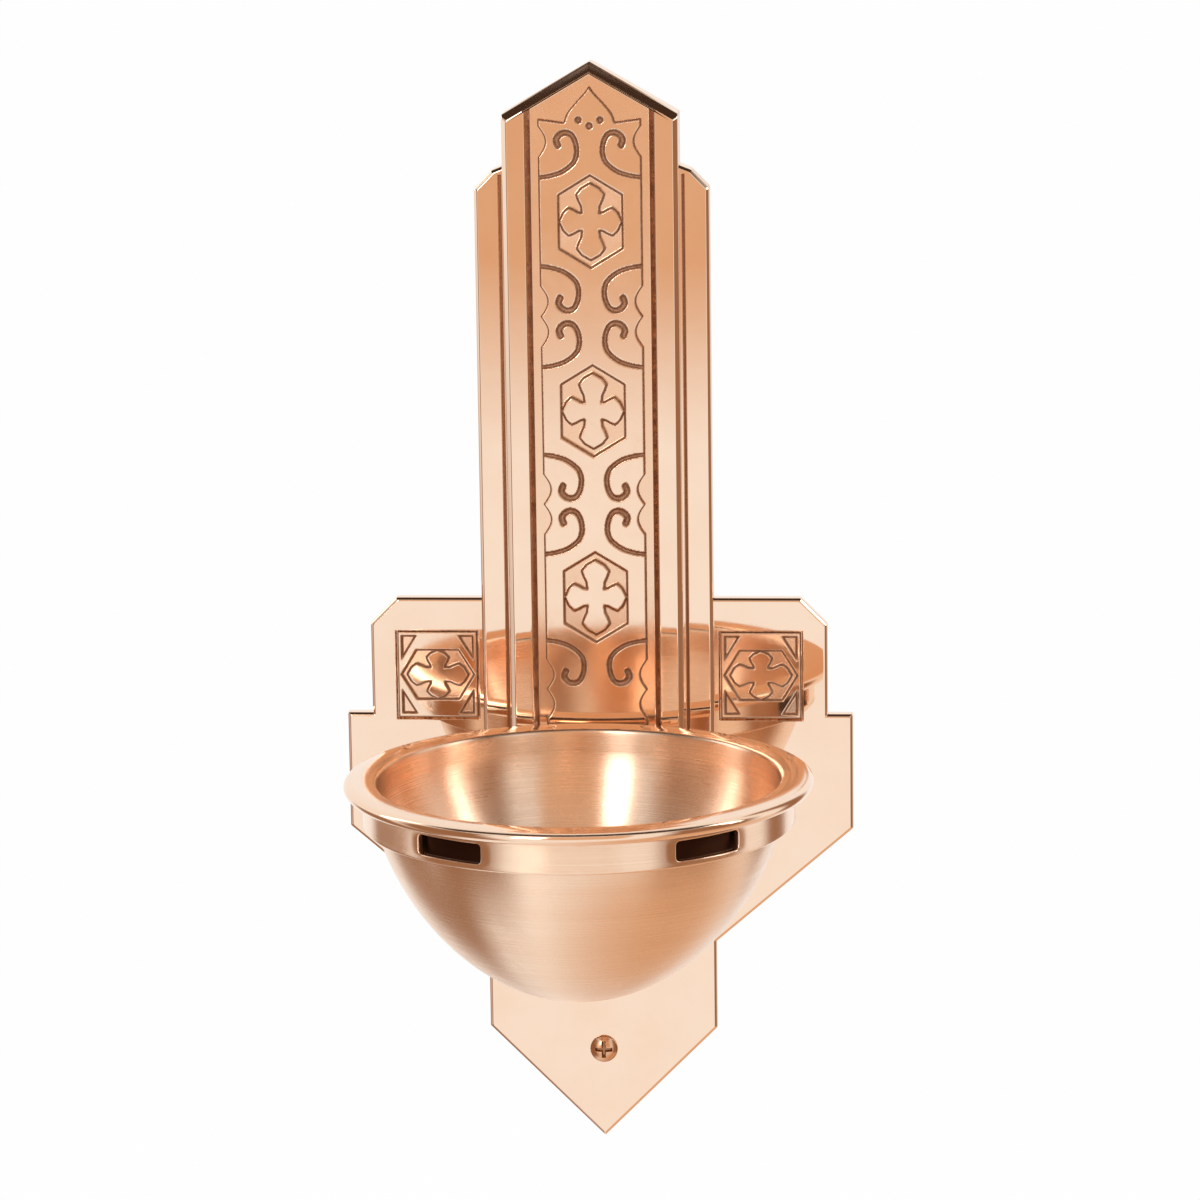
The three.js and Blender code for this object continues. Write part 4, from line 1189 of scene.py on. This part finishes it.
class STOUP_OT_collar_ring(bpy.types.Operator):
    """Builds the collar ring: a band round the bowl, pierced by four windows with eased edges"""

    bl_idname = "stoup.collar_ring"
    bl_label = "Collar ring"

    def execute(self, context):
        ring = context.scene.stoup_ring
        low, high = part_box("collar_ring")
        centre, outer = middle("collar_ring"), (high[0] - low[0]) / 2
        inner, reach = outer - ring.wall, ring.step / 2
        bottom, top, small = low[2], high[2], ring.edge * 0.35
        wide, tall, between = 24, 6, 9
        shell = Shell()

        def place(turn, height, radius):
            """A point at a turn from the front, a height and a radius."""
            turn, height, radius = np.broadcast_arrays(turn, height, radius)
            return np.stack([centre[0] + radius * np.sin(turn), centre[1] - radius * np.cos(turn),
                             height], -1)

        def along(turn, loop, radius):
            """A loop of turns and heights, turned on and put at a radius."""
            return place(turn + loop[:, 0], loop[:, 1], radius)

        def frame_loop(half, floor, roof):
            """Points round a sector of the band, the same number on each side as round a window."""
            across = np.linspace(-1, 1, wide + 1)[:-1] * half
            up = floor + (roof - floor) * np.linspace(0, 1, tall + 1)[:-1]
            return np.concatenate([
                np.stack([across, np.full(wide, floor)], 1), np.stack([np.full(tall, half), up], 1),
                np.stack([-across, np.full(wide, roof)], 1),
                np.stack([np.full(tall, -half), floor + roof - up], 1),
            ])

        def window_loop(grow):
            """A window with round corners, its points facing those of the sector round it."""
            half = (ring.window_width / 2 + grow) / outer
            mid, rise = (bottom + top) / 2, ring.window_height / 2 + grow
            loop = frame_loop(half, mid - rise, mid + rise)
            corner = ring.window_corner + grow
            over_u = np.clip(np.abs(loop[:, 0]) * outer - (half * outer - corner), 0, corner)
            over_v = np.clip(np.abs(loop[:, 1] - mid) - (rise - corner), 0, corner)
            far = np.hypot(over_u, over_v)
            pull = np.where(far > corner, corner / np.maximum(far, 1e-9), 1)
            loop[:, 0] -= np.sign(loop[:, 0]) * over_u * (1 - pull) / outer
            loop[:, 1] -= np.sign(loop[:, 1] - mid) * over_v * (1 - pull)
            return loop

        def blended(first, last):
            """Loops between two loops, in equal steps."""
            t = np.linspace(0, 1, between + 1)[:, None, None]
            return first + (last - first) * t

        ease = ring.window_edge
        for i in range(5):
            turn = ring.first + i * ring.step
            outside = frame_loop(reach, bottom + ring.edge, top - small)
            within = frame_loop(reach, bottom + small, top - small)
            if i < 4:
                rows = [along(turn, loop, outer) for loop in blended(outside, window_loop(ease))]
                for radius, way, bends in ((outer, -1, (30, 60, 90)), (inner, 1, (90, 60, 30))):
                    for bend in np.radians(bends):
                        loop = window_loop(ease * (1 - math.sin(bend)))
                        rows.append(along(turn, loop, radius + way * ease * (1 - math.cos(bend))))
                rows += [along(turn, loop, inner)
                         for loop in blended(within, window_loop(ease))[::-1]]
                shell.grid(np.array(rows), wrap_columns=True)
            else:
                across = np.linspace(-reach, reach, wide + 1)[None, :]
                up = np.linspace(0, 1, tall + 1)[:, None]
                for floor, radius in ((bottom + ring.edge, outer), (bottom + small, inner)):
                    shell.grid(place(turn + across, floor + (top - small - floor) * up, radius))
        across = np.concatenate([
            turn + np.linspace(-reach, reach, wide + 1)[:-1]
            for turn in ring.first + ring.step * np.arange(5)])
        lower = np.concatenate([
            arc(ring.edge, ring.edge, (outer - ring.edge, bottom + ring.edge), 0, -90, 7),
            arc(small, small, (inner + small, bottom + small), -90, -180, 5)])
        upper = np.concatenate([
            arc(small, small, (outer - small, top - small), 0, 90, 5),
            arc(small, small, (inner + small, top - small), 90, 180, 5)])
        for edge in (lower, upper):
            shell.grid(place(across, edge[:, 1:], edge[:, :1]), wrap_columns=True)
        x, y, z = np.concatenate(shell.points).T
        turn = np.arctan2(x - centre[0], centre[1] - y)
        shell.map = [np.stack([turn / (2 * math.pi), z - bottom], 1)]
        finish_piece("collar_ring", shell, "turned_bronze")
        return {"FINISHED"}


# Fasteners


def round_axis(x, z, radius, turn, y):
    """Points at a radius and a turn about an axis into the wall, at depth y."""
    points = (x + radius * np.cos(turn), y, z + radius * np.sin(turn))
    return np.stack(np.broadcast_arrays(*points), -1)


# The wall screw's dome 1 - d r^p falls to its brim; all are shares of the head's rise or radius.
DOME_DROP, DOME_POWER, RECESS_DEPTH, RECESS_REACH, RECESS_TAPER = 0.72, 2.6, 0.62, 0.6, 0.25
# Slots of the back screws, as shares of the head's radius: half width below and above, and depth
SLOT_BELOW, SLOT_ABOVE, SLOT_DEPTH = 0.1, 0.16, 0.24
RIVET_DOME = 0.02  # fall of a rivet's face to its rim, as a share of its radius


class STOUP_OT_wall_screw(bpy.types.Operator):
    """Builds the wall screw: a domed head with a cross recess, and a threaded shank"""

    bl_idname = "stoup.wall_screw"
    bl_label = "Wall screw"

    def execute(self, context):
        sizes = context.scene.stoup_fasteners
        low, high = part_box("wall_screw")
        x, _, z = middle("wall_screw")
        seat_y, tip = low[1] + sizes.rise, high[1]
        turn = np.linspace(0, 2 * math.pi, 97)[None, :]
        ratio = np.concatenate([np.linspace(0, 0.7, 24), np.linspace(0.7, 1, 9)[1:]])[:, None]
        radius = ratio * sizes.head + 0 * turn
        dome = 1 - DOME_DROP * ratio**DOME_POWER
        u, v = radius * np.cos(turn), radius * np.sin(turn)
        arm = np.minimum(np.abs(u), np.abs(v)) - sizes.recess * (
            1 - RECESS_TAPER * radius / sizes.head)
        reach = np.maximum(np.abs(u), np.abs(v)) - RECESS_REACH * sizes.head
        sunk = 1 - smooth(-0.25 * MM, 0.12 * MM, np.maximum(arm, reach))
        y = seat_y - sizes.rise * dome + RECESS_DEPTH * sizes.rise * sunk
        head = round_axis(x, z, radius, turn, y)
        side = np.array([(1.0, 0.14), (1.0, 0.04), (0.985, 0.0), (sizes.shank / sizes.head, 0.0)])
        brim = round_axis(x, z, side[:, :1] * sizes.head, turn, seat_y - side[:, 1:] * sizes.rise)
        along = np.linspace(0, 1, 150)[1:, None]
        y = seat_y + (tip - seat_y) * along + 0 * turn
        plain = 1.2 * -seat_y
        wave = np.abs(2 * ((y / sizes.thread_pitch - turn / (2 * math.pi)) % 1) - 1)
        cut = sizes.thread * smooth(0.25, 0.9, wave) * smooth(plain, plain + 2 * MM, y - seat_y)
        taper = np.clip((tip - y) / (3 * sizes.shank), 0, 1) ** 0.8
        shank = round_axis(x, z, (sizes.shank - cut) * taper, turn, y)
        points = np.concatenate([head, brim, shank])
        points[:, -1] = points[:, 0]
        depth = np.zeros(points.shape[:2])
        depth[:len(radius)] = np.maximum(sunk, smooth(0.9, 1.0, ratio) * 0.8)
        shell = Shell()
        shell.grid(points, depth=depth)
        finish_piece("wall_screw", shell, "fastener_bronze", sharp=50)
        return {"FINISHED"}


class STOUP_OT_back_fasteners(bpy.types.Operator):
    """Builds the countersunk screws and the rivets that show at the wall plate's back"""

    bl_idname = "stoup.back_fasteners"
    bl_label = "Back screws and rivets"

    def execute(self, context):
        for node in BACK_SCREWS + TILE_RIVETS + STRIP_RIVETS:
            low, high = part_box(node)
            x, _, z = middle(node)
            head, flush = (high[0] - low[0]) / 2, high[1]
            stem, slotted = head / 2, node in BACK_SCREWS
            turn = np.linspace(0, 2 * math.pi, 65)[None, :]
            ratio = np.linspace(0, 0.95, 20)[:, None]
            radius = ratio * head + 0 * turn
            across = np.abs(radius * np.sin(turn))
            if slotted:
                sunk = 1 - smooth(SLOT_BELOW * head, SLOT_ABOVE * head, across)
                y = flush - SLOT_DEPTH * head * sunk
            else:
                sunk, y = 0 * across, flush - RIVET_DOME * head * ratio**2
            tip = low[1] - flush
            side = np.array([(head, -HEAD_EDGE * head), (head, -2 * HEAD_EDGE * head),
                             (stem, -stem), (stem, tip + 0.5 * stem), (0.7 * stem, tip), (0, tip)])
            points = np.concatenate([
                round_axis(x, z, radius, turn, y),
                round_axis(x, z, side[:, :1], turn, flush + side[:, 1:])])
            points[:, -1] = points[:, 0]
            depth = np.concatenate([sunk, np.zeros((len(side), turn.size))])
            shell = Shell()
            shell.grid(points, depth=depth)
            finish_piece(node, shell, "fastener_bronze")
        return {"FINISHED"}


class STOUP_OT_ring_bracket(bpy.types.Operator):
    """Gives the cast bracket behind the bowl its finish"""

    bl_idname = "stoup.ring_bracket"
    bl_label = "Ring bracket"

    def execute(self, context):
        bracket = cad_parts["ring_bracket"]
        for place in bracket.material_slots:
            place.material = bronze("relief_bronze")
        return {"FINISHED"}


# Stage


FLOOR_SIDE, FLOOR_FRONT, FLOOR_BACK = 12.0, -2.6, 30.0  # how far the floor reaches
FLOOR_WHITE, FLOOR_GRAIN = 0.97, 0.98  # share of white in the floor, and its darker grain
WORLD_GREY, WORLD_WHITE = (0.8, 0.8, 0.8), (1.0, 1.0, 1.0)
SENSOR, CLIP_END = 36.0, 100.0  # the camera's sensor in millimetres and its far limit


def white_rays(web):
    """1 for rays that should see the white background: from the camera, gloss and glass."""
    path = web.add("ShaderNodeLightPath").outputs
    seen = web.math("MAXIMUM", path["Is Camera Ray"], path["Is Glossy Ray"])
    return web.math("MAXIMUM", seen, path["Is Transmission Ray"])


def emission(web, colour):
    """A shader that shines in a plain colour."""
    return web.add("ShaderNodeEmission", {"Color": opaque(colour), "Strength": 1.0}).outputs[0]


def blend(web, factor, first, second):
    """Ends a material with a blend of two shaders."""
    both = web.add("ShaderNodeMixShader", {0: factor, 1: first, 2: second})
    web.add("ShaderNodeOutputMaterial", {"Surface": both.outputs[0]})


def floor_material(colour):
    """Pale floor, all but white to the camera; the bronze doesn't mirror it."""
    material, web = new_material("pale_floor")
    grain = web.noise(web.place(), 3.0, 2.0)
    shade = web.mix(grain, colour, [FLOOR_GRAIN * c for c in colour])
    matt = web.add("ShaderNodeBsdfDiffuse", {"Color": shade}).outputs[0]
    blend(web, web.times(white_rays(web), FLOOR_WHITE), matt, emission(web, WORLD_WHITE))
    return material


# Brown cards that the bronze mirrors beside the white background. Each has a name, its turn from
# the front and its elevation in degrees, its distance, width, height and soft edge in metres, and
# a colour.
SAND_CARD, BROWN_CARD, DARK_CARD = (0.78, 0.5, 0.32), (0.34, 0.18, 0.1), (0.06, 0.035, 0.022)
CARDS = (
    ("front_card", 0.0, 22.0, 4.0, 4.4, 4.912, 0.294, SAND_CARD),
    ("left_card", -64.0, -10.0, 3.0, 3.4, 6.4, 0.7, BROWN_CARD),
    ("right_card", 72.0, -10.0, 3.0, 3.4, 6.4, 0.7, BROWN_CARD),
    ("right_back_card", 132.0, 8.0, 3.0, 1.8, 5.0, 0.5, BROWN_CARD),
    ("overhead_card", 0.0, 80.0, 3.0, 7.0, 2.6, 0.4, DARK_CARD),
    ("low_card", 90.0, -62.0, 2.8, 7.0, 5.6, 2.2, SAND_CARD),
    ("low_left_card", -115.0, -33.0, 3.0, 2.6, 3.4, 0.6, BROWN_CARD),
)
# Name, turn, elevation, distance, width, height, power
LAMPS = (
    ("key_softbox", -20.0, 20.0, 2.4, 0.6, 1.6, 14.0),
    ("right_strip", 83.0, 22.0, 2.2, 0.36, 1.5, 5.0),
    ("left_strip", -99.0, 22.0, 2.0, 0.26, 1.5, 3.0),
)


def build_world():
    """White to the camera, in the bronze and through glass; soft grey light for the floor."""
    world = bpy.data.worlds.new("studio")
    world.use_nodes = True
    web = Web(world.node_tree)
    shade = web.mix(white_rays(web), WORLD_GREY, WORLD_WHITE)
    sky = web.add("ShaderNodeBackground", {"Color": shade, "Strength": 1.0})
    web.add("ShaderNodeOutputWorld", {"Surface": sky.outputs[0]})
    bpy.context.scene.world = world


def away(turn, rise):
    """Direction from the object by the turn from the front and the elevation, in radians."""
    return Vector((math.sin(turn) * math.cos(rise), -math.cos(turn) * math.cos(rise),
                   math.sin(rise)))


def facing(name, data, target, turn, rise, far):
    """Puts a lamp or card where the turn, elevation and distance say, facing the object."""
    holder = bpy.data.objects.new(name, data)
    line = away(math.radians(turn), math.radians(rise))
    holder.matrix_world = Matrix.Translation(target + far * line) @ line.to_track_quat(
        "Z", "Y").to_matrix().to_4x4()
    holder.visible_camera = False
    bpy.context.scene.collection.objects.link(holder)
    return holder


def card_material(name, width, height, edge, colour):
    """A plain card whose colour fades to nothing towards its four edges."""
    material, web = new_material(name)
    across, up, _ = web.add("ShaderNodeSeparateXYZ", {0: web.place()}).outputs
    solid = [web.span(web.math("ABSOLUTE", place), 0.5 * side, 0.5 * side - edge)
             for place, side in ((across, width), (up, height))]
    clear = web.add("ShaderNodeBsdfTransparent").outputs[0]
    blend(web, web.times(*solid), clear, emission(web, colour))
    return material


def add_cards(target):
    """Brown cards round the object, seen only in the bronze."""
    for name, turn, rise, far, width, height, edge, colour in CARDS:
        corners = rectangle(0.5 * width, 0.5 * height, 0.0, 0.0)
        mesh = bpy.data.meshes.new(name)
        mesh.from_pydata(np.insert(corners, 2, 0.0, axis=1).tolist(), [], [(0, 1, 2, 3)])
        mesh.materials.append(card_material(name, width, height, edge, colour))
        card = facing(name, mesh, target, turn, rise, far)
        card.visible_diffuse = card.visible_transmission = card.visible_shadow = False


def add_lamps(target):
    """Tall soft lamps round the object."""
    for name, turn, rise, far, width, height, power in LAMPS:
        lamp = bpy.data.lights.new(name, "AREA")
        lamp.shape = "RECTANGLE"
        lamp.size, lamp.size_y, lamp.energy = width, height, power
        facing(name, lamp, target, turn, rise, far)


class STOUP_OT_stage(bpy.types.Operator):
    """Builds the floor, the world, the cards, the lamps and the camera"""

    bl_idname = "stoup.stage"
    bl_label = "Stage"

    def execute(self, context):
        stage, scene = context.scene.stoup_stage, context.scene
        x, y = np.meshgrid(np.linspace(-FLOOR_SIDE, FLOOR_SIDE, 25),
                           np.linspace(FLOOR_FRONT, FLOOR_BACK, 34))
        points = np.stack([x, y, np.full(x.shape, -stage.floor)], -1)
        mesh = bpy.data.meshes.new("floor")
        mesh.from_pydata(points.reshape(-1, 3).tolist(), [], grid_faces(*x.shape).tolist())
        mesh.materials.append(floor_material(stage.floor_colour))
        floor = bpy.data.objects.new("floor", mesh)
        floor.visible_glossy = False
        scene.collection.objects.link(floor)
        build_world()
        target = Vector(stage.target)
        add_cards(target)
        add_lamps(target)

        turn, rise = stage.azimuth, stage.elevation
        back = away(turn, rise)
        right = Vector((math.cos(turn), math.sin(turn), 0))
        up = back.cross(right)
        level = math.cos(stage.roll) * right + math.sin(stage.roll) * up
        upright = -math.sin(stage.roll) * right + math.cos(stage.roll) * up
        lens = bpy.data.cameras.new("camera")
        lens.sensor_width, lens.lens, lens.clip_end = SENSOR, stage.lens, CLIP_END
        camera = bpy.data.objects.new("camera", lens)
        camera.matrix_world = Matrix.Translation(target + stage.distance * back) @ Matrix(
            (level, upright, back)).transposed().to_4x4()
        scene.collection.objects.link(camera)
        scene.camera = camera
        scene.view_settings.view_transform = "Standard"
        return {"FINISHED"}


OPERATORS = (
    STOUP_OT_back_plate,
    STOUP_OT_column,
    STOUP_OT_ornament_strip,
    STOUP_OT_wing_tiles,
    STOUP_OT_bowl,
    STOUP_OT_collar_ring,
    STOUP_OT_ring_bracket,
    STOUP_OT_wall_screw,
    STOUP_OT_back_fasteners,
    STOUP_OT_stage,
)


class STOUP_PT_panel(bpy.types.Panel):
    """Lists the stoup's pieces and their sizes"""

    bl_idname = "STOUP_PT_panel"
    bl_label = "Holy water stoup"
    bl_space_type = "VIEW_3D"
    bl_region_type = "UI"
    bl_category = "Stoup"

    def draw(self, context):
        for operator in OPERATORS:
            self.layout.operator(operator.bl_idname)
        for name, kind in GROUPS:
            box = self.layout.box()
            box.label(text=kind.__doc__)
            for key in kind.__annotations__:
                box.prop(getattr(context.scene, name), key)


def register():
    """Registers the sizes, the operators and the panel."""
    for name, kind in GROUPS:
        bpy.utils.register_class(kind)
        setattr(bpy.types.Scene, name, PointerProperty(type=kind))
    for kind in (*OPERATORS, STOUP_PT_panel):
        bpy.utils.register_class(kind)


def unregister():
    """Takes out what register put in."""
    for kind in (STOUP_PT_panel, *reversed(OPERATORS)):
        bpy.utils.unregister_class(kind)
    for name, kind in reversed(GROUPS):
        delattr(bpy.types.Scene, name)
        bpy.utils.unregister_class(kind)


def main():
    """Builds every piece and the stage."""
    register()
    for operator in OPERATORS:
        family, name = operator.bl_idname.split(".")
        getattr(getattr(bpy.ops, family), name)()


if __name__ == "__main__":
    main()
